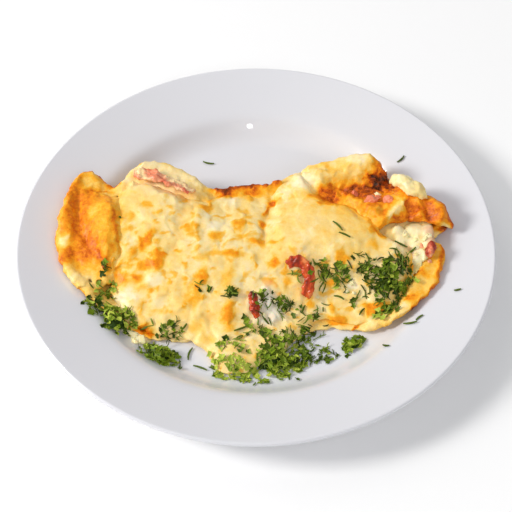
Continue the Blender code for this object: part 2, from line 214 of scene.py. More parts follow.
def plate_profile():
    """Half a section of the plate, from the middle of its top round to the middle of its base."""
    bend = 2 * (SHOULDER_R - FLOOR_R - (SHOULDER_Z - FLOOR_Z) / WALL_SLOPE)
    wall = [(FLOOR_R + bend * s, FLOOR_Z + 0.5 * bend * WALL_SLOPE * s * s) for s in np.linspace(0, 1, 7)]
    inner_foot = FOOT_R - FOOT_WIDTH
    line = [
        *[(0, FLOOR_Z), (40, FLOOR_Z), (80, FLOOR_Z)],  # floor of the well
        *wall,
        *[(SHOULDER_R, SHOULDER_Z), (106, 16.4), (118, 19.4), (PLATE_R - 2.2, RIM_Z - 0.7)],  # rim
        *[(PLATE_R - 1, RIM_Z - 0.4), (PLATE_R, RIM_Z - 1.2)],  # lip
        *[(PLATE_R, RIM_Z - 2.6), (PLATE_R - 2.5, RIM_Z - 3.9)],
        *[(118, 15.3), (100, 10), (FOOT_R + 2, 4), (FOOT_R + 0.4, 1)],  # underside
        *[(FOOT_R, 0), (inner_foot, 0), (inner_foot - 1, BASE_Z)],  # foot
        *[(40, BASE_Z), (0, BASE_Z)],
    ]
    return eased([(float(radius), float(height)) for radius, height in line])


def turned(name, profile, steps):
    """Sweeps a profile of (radius, height) in millimetres round the Z axis."""
    mesh = bmesh.new()
    line = [mesh.verts.new((r * MM, 0, z * MM)) for r, z in profile]
    edges = [mesh.edges.new(pair) for pair in zip(line, line[1:])]
    bmesh.ops.spin(mesh, geom=line + edges, axis=(0, 0, 1), angle=math.tau, steps=steps, use_merge=True)
    bmesh.ops.remove_doubles(mesh, verts=mesh.verts, dist=0.01 * MM)
    bmesh.ops.recalc_face_normals(mesh, faces=mesh.faces)
    faces = sorted([tuple(corner.co) for corner in face.verts] for face in mesh.faces)
    mesh.free()
    points = sorted({corner for face in faces for corner in face})
    number = {point: i for i, point in enumerate(points)}
    data = bpy.data.meshes.new(name)
    data.from_pydata(points, [], [[number[corner] for corner in face] for face in faces])
    data.shade_smooth()
    piece = bpy.data.objects.new(name, data)
    bpy.context.scene.collection.objects.link(piece)
    return piece


plate = turned("dinner_plate", plate_profile(), TURNS)
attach(plate, "root")
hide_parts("plate")
print("plate faces:", len(plate.data.polygons))

# %% [markdown]
# ## The glaze
#
# White tableware isn't pure white: the glaze is a cool grey white, a little thicker and bluer in places,
# and its gloss lies over faint ripples left by firing. Colour variation stays under two percent, or the
# plate would look dirty. The gloss is a clear coat over a softer body.


# %% Fire the glaze
def glaze():
    """Cool white under a clear coat, with slow ripples and fine pores."""
    finish = Finish("plate_glaze")
    body = finish.mix(finish.noise(9.0, 2.0), screen(222, 222, 227), screen(225, 225, 229))
    ripples = finish.bump(finish.noise(28.0, 1.0), 0.4 * MM, 0.25)
    relief = finish.bump(finish.noise(900.0, 2.0), 0.02 * MM, 0.2, ripples)
    rough = finish.stretch(finish.noise(60.0, 3.0), 0.3, 0.7, 0.28, 0.31)
    return finish.wear(base_color=body, roughness=rough, normal=relief, coat_weight=0.8, coat_roughness=0.04)


dress(plate, glaze())
print("plate glazed")

# %% [markdown]
# ## Soft food from plain solids
#
# The frame's food is made of large facets. A voxel remesh turns such a solid into small squares of one
# size, which can then be moved freely, and a few rounds of smoothing take the facets away. Subdividing
# would keep the long thin faces of the solid, and they would show as creases. The plain solid isn't
# touched: the new skin is a separate mesh that stands for it.
#
# The other helpers read all vertices as one array of millimetres and write them back, because a mesh of
# a hundred thousand vertices is too slow to move one at a time.


# %% Remesh a frame node into a soft skin
def soft_skin(name, node, voxel, rounds):
    """A new object shaped like a frame node, in faces about one voxel wide."""
    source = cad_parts[node]
    piece = bpy.data.objects.new(name, source.data.copy())
    piece.matrix_world = source.matrix_world.copy()
    bpy.context.scene.collection.objects.link(piece)
    remesh = piece.modifiers.new("even skin", "REMESH")
    remesh.mode = "VOXEL"
    remesh.voxel_size = voxel * MM
    smooth = piece.modifiers.new("soften", "SMOOTH")
    smooth.factor = 0.5
    smooth.iterations = rounds
    shaped = piece.evaluated_get(bpy.context.evaluated_depsgraph_get())
    data = bpy.data.meshes.new_from_object(shaped)
    data.transform(source.matrix_world)
    bpy.data.objects.remove(piece)
    data.materials.clear()
    data.shade_smooth()
    skin = bpy.data.objects.new(name, data)
    bpy.context.scene.collection.objects.link(skin)
    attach(skin, "root")
    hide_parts(node)
    return skin


def vectors(collection, name):
    """One vector of every item of a mesh collection, as rows of numbers."""
    flat = np.empty(len(collection) * 3, dtype=np.float32)
    collection.foreach_get(name, flat)
    return flat.reshape(-1, 3).astype(float)


def places(piece):
    """All vertex positions of a piece in millimetres."""
    return vectors(piece.data.vertices, "co") / MM


def facings(piece):
    """All vertex normals of a piece."""
    return vectors(piece.data.vertex_normals, "vector")


def move_to(piece, spots):
    """Moves every vertex of a piece to a place given in millimetres."""
    piece.data.vertices.foreach_set("co", (spots * MM).astype(np.float32).ravel())
    piece.data.update()


# %% [markdown]
# ## Noise and strokes
#
# Two tools shape the food. `wander` is smooth noise with a size in millimetres, for everything that has
# no plan, and `sway` turns it into a shift on the plan. `stroke` is 1 along a line drawn on the plan of
# the dish and fades over its width: times a height it is a ridge or a groove, and added to the baking it
# is a streak. `eased_step` fades softly from one part of the dish to the next. The seeds are fixed
# numbers, so the same dish comes out every time.


# %% Noise and strokes
def wander(spots, size, seed=0.0, octaves=2):
    """Noise between about -1 and 1 at each place, whose bumps are about size millimetres across."""
    shift = Vector((seed * 7.3, seed * 3.1, seed * 5.7))
    scaled = spots / size
    return np.array([noise.fractal(Vector(p) + shift, 1.0, 2.0, octaves) for p in scaled]) * 1.3


def sway(spots, size, seed, reach):
    """A shift on the plan at each place, by noise, up to about reach millimetres."""
    return np.stack([wander(spots, size, seed), wander(spots, size, seed + 1)], axis=1) * reach


def turning(degrees):
    """The cosine and the sine of a turn."""
    return math.cos(math.radians(degrees)), math.sin(math.radians(degrees))


def eased_step(value, low, high):
    """0 below low, 1 above high, and an eased slope between; low may be the larger."""
    t = np.clip((value - low) / (high - low), 0, 1)
    return t * t * (3 - 2 * t)


def stroke(spots, line, width):
    """1 on a line through plan points, falling to 0 about one width away from it."""
    near = np.full(len(spots), 1e9)
    for a, b in zip(line, line[1:]):
        start, along = np.array(a, float), np.subtract(b, a)
        t = np.clip(((spots[:, :2] - start) @ along) / max(along @ along, 1e-9), 0, 1)
        near = np.minimum(near, np.linalg.norm(spots[:, :2] - start - t[:, None] * along, axis=1))
    return np.exp(-((near / width) ** 2))


# %% [markdown]
# ## Ridges and grooves
#
# The large folds are in the frame. What a spoon would feel is added here, named place by place: the
# crease in the browned flap, the ruffles of the torn end, the crisp edge at the back, and the slack
# crease where the cheese has slid. Each entry is a line on the plan, its width and its height, all in
# millimetres. A minus makes a groove.

# %% Name the folds
EGG_FOLDS = [
    # line on the plan, width, height
    ([(-103, 24), (-101, 6), (-97, -3), (-91, -12), (-85, -20)], 2.4, -2.0),  # crease of the flap
    ([(-110, 8), (-107, 30), (-100, 43), (-93, 43)], 3.5, 1.2),  # rolled rim of the flap
    ([(-109, -12), (-103, -24), (-94, -34)], 3.0, 1.2),
    ([(-96, 29), (-85, 33)], 1.6, -1.5),  # step behind the flap
    ([(-86, 16), (-82, 6), (-80, -4), (-82, -13)], 6.0, 2.4),  # golden swell beside the cheese
    ([(-79, 20), (-77, 8), (-76, -4), (-77, -18)], 3.5, 2.0),
    ([(-73, 45), (-62, 50), (-52, 50), (-42, 46), (-30, 38)], 2.6, 1.3),  # lip behind the ham
    ([(-22, 32.5), (-12, 34), (0, 35.5), (12, 38)], 1.8, 1.9),  # crisp edge at the back
    ([(24, 43), (36, 46), (50, 44)], 2.0, -1.4),  # folds along the rolled lobe
    ([(30, 49), (48, 53), (64, 53)], 3.0, 1.2),
    ([(56, 48), (66, 46)], 5.0, 1.4),
    ([(70, 50), (74, 41)], 3.0, 1.4),
    ([(73, 4), (78, 9), (84, 17)], 2.8, 2.4),  # cream ruffle
    ([(77, 3), (80, 9)], 2.0, -1.8),
    ([(86, 18), (87, 9)], 1.7, -1.6),  # dark cracks between the ruffles
    ([(90, 12), (97, 15)], 1.5, -1.2),
    ([(98, 14), (98, 6)], 1.7, -1.5),
    ([(92, 18), (93, 8)], 2.4, 1.6),
    ([(102, 20), (105, 8)], 2.6, 1.8),
    ([(96, 30), (103, 23), (108, 13)], 2.2, 1.5),  # torn outer edge
    ([(105, -6), (103, -20), (97, -32), (86, -44), (76, -51)], 2.6, 1.0),  # edge of the lower leaf
    ([(95, -13), (91, -24), (85, -36), (76, -46), (64, -52)], 4.5, 2.6),  # swell of the lower leaf
    ([(28, 40), (36, 37), (40, 32)], 4.0, 1.6),  # egg drawn up against the cheese
    ([(54, 25), (62, 17), (69, 9), (74, 2)], 2.5, 1.4),
]
CHEESE_FOLDS = [
    # line on the plan, width, height
    ([(11, 28), (7, 16), (4, 4), (5, -8)], 2.6, -1.6),  # slack crease across the middle
    ([(14, 24), (13, 8), (16, -6)], 3.5, 0.9),
    ([(-38, 16), (-44, 2), (-46, -14)], 4.5, -1.0),
    ([(-32, 12), (-34, -8), (-28, -24)], 3.5, 0.8),
    ([(-60, 4), (-66, -8), (-70, -16)], 3.5, 1.0),
    ([(-57, -16), (-55, -26), (-60, -34)], 3.2, 1.0),
    ([(20, 33), (27, 34)], 6.0, 0.8),  # cream swell at the back
    ([(22, -22), (40, -22), (56, -16)], 4.0, -0.8),
    ([(-14, -46), (-16, -56), (-12, -66)], 4.0, 1.2),  # run down to the apron
    ([(-24, -40), (-26, -54)], 3.5, -0.9),
    ([(6, -38), (9, -50)], 4.0, 1.6),  # heap of curd beside the pepper
]
print(len(EGG_FOLDS), "folds in the egg,", len(CHEESE_FOLDS), "in the cheese")

# %% [markdown]
# ## Three ways to move a skin
#
# `folded` adds up the ridges and grooves. `capped` raises round lumps, such as curds under the cheese:
# where two lumps meet, the higher one wins, which leaves the sharp valley that real curds have. `pushed`
# slides an edge sideways on the plan, for a corner that is drawn in or bulges out. Its top height lets it
# move what lies below a fold and leave the fold itself alone.


# %% Fold, cap and push
def folded(spots, folds):
    """The sum of the heights of all folds at each place."""
    return sum(height * stroke(spots, line, width) for line, width, height in folds)


def pushed(spots, pushes):
    """How far each place is shifted on the plan: each push has a middle, reach, shift and top height."""
    shift = np.zeros((len(spots), 2))
    for x, y, reach, dx, dy, top in pushes:
        near = np.exp(-(((spots[:, 0] - x) ** 2 + (spots[:, 1] - y) ** 2) / reach**2))
        below = eased_step(spots[:, 2], top + 1, top - 1)
        shift += (near * below)[:, None] * np.array([dx, dy])
    return shift


def capped(spots, lumps):
    """Rounded lumps: each is its middle, radius and height; the highest one wins at each place."""
    height = np.zeros(len(spots))
    for x, y, radius, tall in lumps:
        away = np.hypot(spots[:, 0] - x, spots[:, 1] - y) / radius
        height = np.maximum(height, tall * np.sqrt(np.clip(1 - away**2, 0, 1)))
    return height


print("a lump 2 mm tall and 4 mm round, at its middle:", capped(np.zeros((1, 3)), [(0, 0, 4, 2)])[0])

# %% [markdown]
# ## How far each spot is baked
#
# The whole dish came out of one hot oven, so one number tells its colour: 0 is raw cream, 0.5 is gold,
# 0.75 is deep orange and 1 is nearly black. Broad washes go first, then streaks and spots on top, as a
# painter works. Each one is an oval: its middle, its length and width, the turn of its length in
# degrees, and how baked it is. Where two overlap, the later one covers the earlier. A few dabs also paint
# shade: in the crease across the cheese, in the cracks between the ruffles and under the end of the lobe.

# %% Name the washes and dabs
WASHES = [
    # x, y, length, width, turn, baked
    (-97, 5, 36, 84, 0, 0.62),  # the browned flap
    (-84, -2, 12, 32, 8, 0.50),
    (-90, -24, 14, 10, -30, 0.52),
    (-98, -30, 27, 15, -22, 0.20),
    (-97, -37, 12, 4, -40, 0.62),
    (-55, 38, 58, 26, -10, 0.12),  # lip behind the ham
    (-68, 18, 18, 13, 0, 0.24),
    (-56, -59, 92, 20, -8, 0.18),  # pale front edge
    (-4, 33.5, 40, 7, 7, 0.60),  # crisp edge at the back
    (14, 38, 16, 7, 30, 0.54),
    (44, 46, 70, 22, 8, 0.17),  # rolled lobe
    (71, 46, 10, 15, 20, 0.58),
    (59, 27, 44, 20, 4, 0.72),  # toasted hollow
    (33, 36, 16, 14, 0, 0.12),
    (94, 14, 42, 36, -30, 0.64),  # ruffles of the torn end
    (67, 8, 10, 16, 0, 0.50),
    (96, -26, 18, 50, -28, 0.38),  # lower leaf
    (76, -49, 18, 6, 30, 0.24),
    (46, -54, 44, 8, -2, 0.20),
]
DABS = [
    # x, y, length, width, turn, baked
    (-100, -14, 19, 11, 10, 0.69),  # browned flap
    (-103, 20, 9, 20, 5, 0.65),
    (-100, 3, 9, 18, 12, 0.66),
    (-94, -7, 7, 14, 40, 0.69),
    (-88, -16, 3.5, 12, 40, 0.74),
    (-84, -21, 2.5, 5, 40, 0.96),
    (-96, 45, 16, 3.5, 0, 0.72),
    (-89, 41, 9, 3, -45, 0.84),
    (-83, 35, 8, 2.5, 0, 0.86),
    (-90, 30, 13, 2.4, 5, 0.76),
    (-95, 35, 9, 6, -20, 0.30),
    (-108, -6, 7, 8, 30, 0.16),
    (-92, 12, 6, 8, 0, 0.40),
    (-111, 14, 3, 34, 0, 0.48),
    (-79, 0, 2.4, 26, 12, 0.68),
    (-71, 47, 10, 3.5, 25, 0.50),  # lip behind the ham
    (-50, 50, 6, 4, 0, 0.48),
    (-42, 46, 9, 3.5, -40, 0.55),
    (-20, 32.5, 9, 4, 8, 0.84),  # crisp edge at the back
    (-17, 30, 7, 4, -20, 0.84),
    (-5, 35.0, 34, 4.4, 7, 0.92),
    (-19, 25, 7, 4, 0, 0.66),
    (-2, 31, 9, 3, 0, 0.70),
    (21, 44, 6, 5, 0, 0.42),
    (43, 43, 16, 4, 15, 0.33),  # rolled lobe
    (38, 48, 12, 3, 20, 0.33),
    (56, 45, 16, 3, -5, 0.32),
    (42, 46, 9, 2.6, -35, 0.42),
    (52, 46, 14, 8, 0, 0.34),
    (60, 50, 14, 8, 0, 0.10),
    (65, 41, 3, 2, 0, 0.85),
    (74, 43, 4, 10, 15, 0.68),
    (42, 27, 17, 16, 0, 0.74),  # toasted hollow
    (55, 31, 12, 9, 10, 0.78),
    (49, 28, 4, 6, 0, 0.50),
    (56, 20, 13, 5, -10, 0.27),
    # Partly browning, partly painted shadow: the darkest end of the hollow lies under the end of the lobe.
    (66, 32, 16, 9, 0, 0.84),
    (73, 38, 16, 9, -12, 0.98),
    (61, 28, 5, 6, 0, 0.80),
    (64, 22, 5, 4.5, 0, 0.54),
    (65, 16, 13, 5, 10, 0.70),
    (73, 20, 6, 4, 0, 0.80),
    (79, 11, 8, 22, -38, 0.16),  # ruffles
    (72, 10, 4, 14, -38, 0.62),
    (84, 8, 5, 8, -20, 0.74),
    (78, 4, 5, 9, -30, 0.68),
    (82, 8, 8, 4, 10, 0.64),
    # Partly browning, partly painted shade: the cracks between the ruffles are painted dark along their
    # grooves.
    (87, 14, 3.2, 12, 5, 0.83),
    (93, 13, 11, 3.2, 20, 0.80),
    (98.5, 10, 3.2, 12, 5, 0.83),
    (94, 19, 7, 3, -10, 0.54),
    (103, 13, 4, 6, 0, 0.58),
    (94, 9, 4, 4, 0, 0.60),
    (100, 28, 3, 14, 45, 0.82),
    (107, 17, 3, 14, 30, 0.82),
    (110, 8, 3, 9, 10, 0.80),
    (97, 6, 9, 2.5, 0, 0.72),
    (107, 3, 9, 3.5, 10, 0.14),  # cream underside of the tip
    (91, -23, 12, 6, -35, 0.60),  # lower leaf
    (98, -14, 6, 12, -10, 0.50),
    (93, -31, 9, 7, -40, 0.34),
    (98, -22, 5, 7, 0, 0.40),
    (85, -40, 9, 5, 30, 0.64),
    (79, -45, 8, 5, 30, 0.14),
    (74, -48, 9, 4, 15, 0.26),
    (103, -18, 3, 24, -15, 0.68),
    (97, -35, 3, 16, -42, 0.70),
    (87, -46, 3, 12, -50, 0.86),
    (46, -56.5, 20, 1.8, -4, 0.76),
    (54, -54, 6, 1.6, 40, 0.70),
    (-62, -57, 13, 7, -25, 0.66),
    (-62, -10, 15, 5.5, 48, 0.62),  # spots on the left of the cheese
    (-71, 7, 5, 6, 0, 0.42),
    (-76, 7, 3.5, 5, 0, 0.42),
    (-75, -3, 6, 4, 0, 0.40),
    (-70, -2, 4, 4, 0, 0.42),
    (-54, -18, 7, 9, 10, 0.60),
    (-57, -23, 12, 6, 0, 0.61),
    (-63, -23, 4, 4, 0, 0.50),
    (-74, -26, 6, 4, -60, 0.56),
    (-71, -30, 6, 4, -45, 0.58),
    (-65, -30, 7, 5, 0, 0.60),
    (-62, -34, 6, 3, 0, 0.44),
    (-62, 14, 7, 4, 0, 0.46),
    (-29, 16, 8, 6, 20, 0.54),  # spots on the middle
    (-26, 22, 5, 4, 0, 0.50),
    (-37, -1, 4, 4, 0, 0.46),
    (-23, -5, 6, 6, 0, 0.52),
    (-9, 5, 8, 5, 10, 0.54),
    (-4, 10, 7, 3, 40, 0.44),
    (-7, -5, 8, 6, 0, 0.44),
    (-5, 23, 5, 6, 0, 0.44),
    (-6, 15, 7, 4, 0, 0.40),
    (1, -9, 10, 4, -15, 0.54),
    (10, -9, 5, 2.5, 0, 0.50),
    (-13, -17, 10, 5, 0, 0.58),
    (-22, -16, 8, 4, 10, 0.42),
    (-29, -20, 7, 5, 0, 0.36),
    (10, -21, 3.5, 7, 0, 0.62),
    (-30, -31, 6, 8, 0, 0.58),
    (-33, -37, 5, 10, 15, 0.48),
    (-35, -42, 6, 8, 15, 0.46),
    (-15, -30, 6, 10, -15, 0.40),
    (-15, -50, 8, 12, -5, 0.58),
    (-33, -56, 6, 5, 0, 0.36),
    (-26, -63, 8, 5, 0, 0.32),
    (17, -31, 4, 8, -25, 0.44),
    # Painted shade: the crease across the middle of the cheese is darkened along its groove.
    (10, 23, 7, 3, 15, 0.76),  # crease across the middle
    (6, 17, 2.2, 9, -25, 0.72),
    (3, 5, 3.5, 5, 20, 0.66),
    (48, -18, 7, 8, 10, 0.54),  # spots on the right
    (66, -10, 6, 5, 0, 0.44),
    (64, -45, 13, 6, 0, 0.56),
    (42, -42, 3.5, 7, 10, 0.50),
    (42, -31, 6, 4, 0, 0.50),
    (65, -2, 6, 5, 0, 0.50),
    (65, 7, 9, 9, 0, 0.46),
    (70, -3, 9, 3.5, -40, 0.68),
    (80, -9, 16, 9, -35, 0.10),
    (45, -49.5, 11, 5, -5, 0.55),
    (65, -44, 11, 6, 0, 0.58),
    (40, 20, 12, 5, -20, 0.58),
    (55, 21, 13, 7, -40, 0.52),
    (64, 13, 13, 7, -48, 0.55),
    (71, 4, 9, 6, -50, 0.52),
    (-24, 2, 7, 8, 0, 0.04),  # white of the cheese
    (-13, 20, 6, 5, 0, 0.06),
    (-71, -39, 14, 11, 0, 0.05),
    (6, -44, 9, 7, 0, 0.02),
    (26, 36, 14, 12, 0, 0.06),
    (54, -32, 5, 5, 0, 0.02),
    (-57, -31, 8, 6, 0, 0.08),
]
print(len(WASHES), "washes and", len(DABS), "dabs")

# %% [markdown]
# ## Laying the washes
#
# A hard oval would look stamped on. The distance from its middle is shaken by noise before it is used, so
# that its edge is ragged, and a falloff that is flat inside and quick at the rim keeps its colour whole.
# The tone is stored on the mesh, one number for each vertex. The ramp below reads it, and its colours are
# spaced as egg and cheese really brown: a long way through yellow, then quickly through orange to black.


# %% Lay the tones
RAGGED = 0.42


def baked_and_shaded(spots, ground):
    """How baked each place is, from 0 to 1, painted over a ground tone; a few dabs in it are painted shade.
    """
    tone = np.array(ground, float)
    ragged_wide = wander(spots, 9.0, 3.0, 3)
    ragged_fine = wander(spots, 3.2, 4.0, 3)
    for ovals, hardness, rag in ((WASHES, 3.0, ragged_wide), (DABS, 3.4, ragged_fine)):
        for x, y, long, wide, turn, value in ovals:
            c, s = turning(turn)
            u = ((spots[:, 0] - x) * c + (spots[:, 1] - y) * s) / (long / 2)
            v = ((spots[:, 1] - y) * c - (spots[:, 0] - x) * s) / (wide / 2)
            away = np.maximum(np.hypot(u, v) + RAGGED * rag, 0)
            tone += (value - tone) * np.exp(-0.7 * away**hardness)
    return tone


def paint(piece, name, values):
    """Stores one number for each vertex, for a material to read."""
    layer = piece.data.attributes.new(name, "FLOAT", "POINT")
    layer.data.foreach_set("value", np.clip(values, 0, 1).astype(np.float32))


BAKED_COLOURS = [
    (0.00, screen(255, 242, 212)),
    (0.10, screen(254, 230, 172)),
    (0.20, screen(253, 217, 136)),
    (0.32, screen(252, 202, 96)),
    (0.46, screen(250, 177, 38)),
    (0.60, screen(240, 142, 10)),
    (0.74, screen(208, 98, 12)),
    (0.87, screen(146, 62, 12)),
    (1.00, screen(58, 28, 10)),
]
middle_of_flap = np.array([[-97, 5, 20]])
print("raw egg in the middle of the flap comes out", round(float(baked_and_shaded(middle_of_flap, [0])[0]), 2))

# %% [markdown]
# ## The egg sheet
#
# The omelette is one sheet of egg folded over at the back. Its pale parts steamed under the cheese and
# its bare parts fried, so the relief differs: soft swells where it is cream, and a tight mesh of burst
# bubbles where it is brown. The more baked a place is, the more the fine noise moves it.

# %% Shape the egg
EGG_PUSHES = [
    # x, y, reach, shift in x, shift in y, top
    (107, 1, 7.5, -10.0, 0, 22.5),  # hollow below the torn tip
    (103, -11, 4.0, 1.5, 3.0, 99),
    (101, 28, 9.0, -2.0, -3.0, 99),
    (111, 7, 4.0, 1.0, -0.8, 99),  # the tip itself
    (20, 42, 4.0, 0, 2.0, 99),  # small peak beside the lobe
]

RUFFLES = [(84, 15), (94, 12), (104, 14)]
CRAGS = [([(40, 29), (56, 31), (72, 34)], 7.0), ([(64, 22), (68, 12)], 5.0)]
SIDES_BROWNER = 0.28
SWELL, BLISTER, CRAG = 0.45, 0.9, 2.6

egg = soft_skin("folded_egg", "egg_sheet", 1.0, 3)

spots, facing = places(egg), facings(egg)
upward = eased_step(facing[:, 2], 0.1, 0.7)
ground = 0.30 + SIDES_BROWNER * (1 - upward) + 0.08 * wander(spots, 14.0, 1.0, 3)
tone = baked_and_shaded(spots, ground)

# Brown veins run between the burst bubbles, and the crisp parts are speckled.
crisp = eased_step(tone, 0.45, 0.8)
veins = np.exp(-((wander(spots, 6.0, 3.5, 1) / 0.13) ** 2))
ruffles = stroke(spots, RUFFLES, 9.0)
tone += (0.05 * crisp + 0.12 * ruffles * eased_step(tone, 0.3, 0.6)) * veins
tone += (0.05 + 0.04 * crisp) * wander(spots, 5.0, 2.0, 4)
tone += (0.02 + 0.05 * crisp) * wander(spots, 1.8, 2.5, 2)
tone -= 0.8 * ruffles * np.maximum(tone - 0.70, 0)

# Swells and bubbles rise square to the skin; folds and crags rise straight up.
lift = folded(spots, EGG_FOLDS) * upward
swell = SWELL * wander(spots, 8.0, 5.0, 3)
blisters = (0.2 + 0.8 * crisp) * (0.5 - np.abs(wander(spots, 4.2, 6.0, 2)))
craggy = sum(stroke(spots, line, width) for line, width in CRAGS)
spots = spots + facing * (swell + BLISTER * blisters)[:, None]
spots[:, 2] += lift + CRAG * craggy * (0.4 - np.abs(wander(spots, 5.5, 7.0, 2))) * upward
spots[:, :2] += sway(spots, 5.0, 8.0, 1.0)
spots[:, :2] += pushed(spots, EGG_PUSHES)
move_to(egg, spots)
tone -= 0.6 * eased_step(spots[:, 0], -82, -86) * np.maximum(tone - 0.66, 0)  # the flap stays orange
paint(egg, "baked_and_shaded", tone)
print("egg vertices:", len(spots), "tones", round(float(tone.min()), 2), "to", round(float(tone.max()), 2))

# %% [markdown]
# ## The melted cheese
#
# Melted cheese is a thick skin: it bridges hollows, sags between them and ends in a rounded, wavy edge.
# Its swells are broad on the left and almost flat on the right, where it has set smooth. Its toasted
# spots are blisters that rose and burst, so they stand a little proud.
#
# The edge is where a blanket of cheese gives itself away. A search tree of the side faces tells how far
# each place is from the edge, and the closer it is, the deeper it sinks into the egg.

# %% Name the places in the cheese
MILKY_CURDS = [
    # x, y, radius, height
    (-2, -42, 3.0, 0.8),
    (5, -38, 3.5, 1.2),
    (7, -44, 4.0, 1.4),
    (12, -47, 3.5, 1.2),
    (3, -49, 4.5, 1.2),
    (8, -51, 3.5, 1.1),
]
CHEESE_PUSHES = [
    # x, y, reach, shift in x, shift in y, top
    (-77, -32, 9.0, -5.0, -1.0, 99),  # lobe of cheese over the foot of the flap
    (-70, -47, 7.0, -2.5, -2.0, 99),
]
CHEESE_SINKS = [
    # line on the plan, width, depth, where the edge has melted into the egg
    ([(-82, 12), (-79, 2), (-79, -8)], 3.5, 1.2),
    ([(-78, -16), (-77, -28)], 4.0, 1.6),
    ([(30, 47), (33, 39), (37, 33)], 4.5, 4.5),
    ([(52, 26), (60, 18), (68, 9), (74, 1)], 4.5, 2.4),
    ([(88, -22), (81, -36), (72, -47)], 3.5, 1.6),
]
BACK_EDGE = [(-18, 25), (-4, 27), (10, 30)]
HAM_EDGE = [(-74, 36), (-60, 37), (-46, 32), (-38, 27)]
SET_SMOOTH = [(28, 6), (52, -2)]
print(len(MILKY_CURDS), "milky curds and", len(CHEESE_SINKS), "melted edges")


# %% Shape the cheese
def from_edge(spots, facing):
    """How far each place is on the plan from the nearest steep side of the skin."""
    sides = spots[np.abs(facing[:, 2]) < 0.3]
    edge = KDTree(len(sides))
    for index, (x, y, _) in enumerate(sides):
        edge.insert(Vector((x, y, 0)), index)
    edge.balance()
    return np.array([edge.find(Vector((x, y, 0)))[2] for x, y, _ in spots])


cheese = soft_skin("cheese_blanket", "melted_cheese", 0.75, 8)

spots, facing = places(cheese), facings(cheese)
upward = eased_step(facing[:, 2], 0.0, 0.6)
smooth_part = stroke(spots, SET_SMOOTH, 20.0)
milky = np.clip(sum(stroke(spots, [(x, y), (x + 0.1, y)], r * tall) for x, y, r, tall in MILKY_CURDS), 0, 1)
inward = from_edge(spots, facing)
on_egg = eased_step(spots[:, 1], -44, -30)

# The ground tone is cream, warmer along the edge that lies on the egg, with freckles on the rough part.
ground = 0.17 + 0.07 * wander(spots, 11.0, 11.0, 3) + 0.04 * wander(spots, 4.0, 12.0)
ground += 0.20 * on_egg * eased_step(spots[:, 1], 30, 20) * np.exp(-((inward / 2.5) ** 2))
ground += 0.05 * stroke(spots, [(-62, -28), (-34, -46)], 18.0) + 0.06 * smooth_part
freckles = eased_step(wander(spots, 4.6, 13.0, 3), 0.2, 0.8) * (1 - smooth_part)
tone = baked_and_shaded(spots, ground + 0.26 * freckles)

# Blisters, lumps and grain lift the top, and the edge sinks.
blister = eased_step(tone, 0.34, 0.6)
lumps = wander(spots, 7.5, 14.0, 1) * (1 - 0.8 * smooth_part)
grain = (np.sqrt(wander(spots, 5.5, 15.0, 1) ** 2 + 0.03) - 0.35) * (1 - 0.7 * smooth_part)
lift = 0.8 * folded(spots, CHEESE_FOLDS) + 0.65 * lumps + 0.6 * grain + 0.5 * blister
sink = (0.5 + 1.9 * on_egg) * np.exp(-((inward / 3.2) ** 2)) + folded(spots, CHEESE_SINKS)
# Painted shade: the low places of the cheese are darkened, partly as thin cheese over the egg, partly as
# shade in its hollows.
thin_and_hollow_shade = eased_step(-lift, 0.1, 1.8) * (1 - blister)
spots[:, 2] += (lift + capped(spots, MILKY_CURDS)) * upward - sink
spots[:, :2] += sway(spots, 8.0, 16.0, 1.3)
spots[:, :2] += pushed(spots, CHEESE_PUSHES)
back_edge = stroke(spots, BACK_EDGE, 6.0)
spots[:, 1] += 4.5 * back_edge + 3.0 * stroke(spots, HAM_EDGE, 4.5)
spots[:, 2] += 0.8 * back_edge
move_to(cheese, spots)
paint(cheese, "baked_and_shaded", tone)
paint(cheese, "thin_and_hollow_shade", thin_and_hollow_shade)
paint(cheese, "milky", milky)
print("cheese vertices:", len(spots), "blistered share", round(float((blister > 0.5).mean()), 2))

# %% [markdown]
# ## The finish of baked food
#
# One recipe serves egg and cheese, with different amounts. The painted number, shaken by fine noise, runs
# through the colour ramp: the more baked a place is, the more it is shaken, because cream is even and
# brown is mottled. Fat makes the surface satin, with a gloss that comes and goes, and light sinks a
# millimetre or two into it, which subsurface scattering gives. The low places of the cheese are painted
# darker, partly because thin cheese lets the egg below show and partly as painted shade in its hollows,
# and milky curds bleach it.


# %% Cook the finish
def cooked(name, shake, rough, depth, soft):
    """A baked surface: how much its tone is shaken, its roughness, its relief depth in mm, its softness."""
    finish = Finish(name)
    tone = finish.painted("baked_and_shaded")
    mottle = finish.swing(finish.noise(420.0, 4.0, 0.62), shake)
    speck = finish.swing(finish.noise(1300.0, 3.0, 0.6), shake * 0.6)
    amount = finish.stretch(tone, 0.1, 0.8, 0.35, 1.0)
    shaken = finish.math("MULTIPLY", finish.math("ADD", mottle, speck), amount)
    colour = finish.ramp(finish.math("ADD", tone, shaken), BAKED_COLOURS)
    # Painted shade in the cheese's hollows, together with thin cheese darkened by the egg below.
    thin_and_hollow_shade = finish.math("MULTIPLY", finish.painted("thin_and_hollow_shade"), 0.55)
    colour = finish.mix(thin_and_hollow_shade, colour, screen(222, 192, 120), "MULTIPLY")
    milky = finish.math("MULTIPLY", finish.painted("milky"), 0.7)
    colour = finish.mix(milky, colour, screen(240, 236, 222))
    coarse = finish.bump(finish.noise(360.0, 2.0, 0.5), depth * MM, 0.7)
    return finish.wear(
        base_color=colour,
        roughness=finish.stretch(finish.noise(260.0, 3.0), 0.3, 0.7, rough - 0.08, rough + 0.12),
        normal=finish.bump(finish.noise(1500.0, 2.0), depth * 0.2 * MM, 0.7, coarse),
        subsurface_weight=soft,
        subsurface_scale=1.6 * MM,
        subsurface_radius=(1.0, 0.55, 0.25),
        specular_ior_level=0.26,
    )


dress(egg, cooked("fried_egg_skin", 0.50, 0.44, 0.55, 0.14))
dress(cheese, cooked("melted_cheese_skin", 0.40, 0.40, 0.34, 0.20))
print("egg and cheese have their finish")
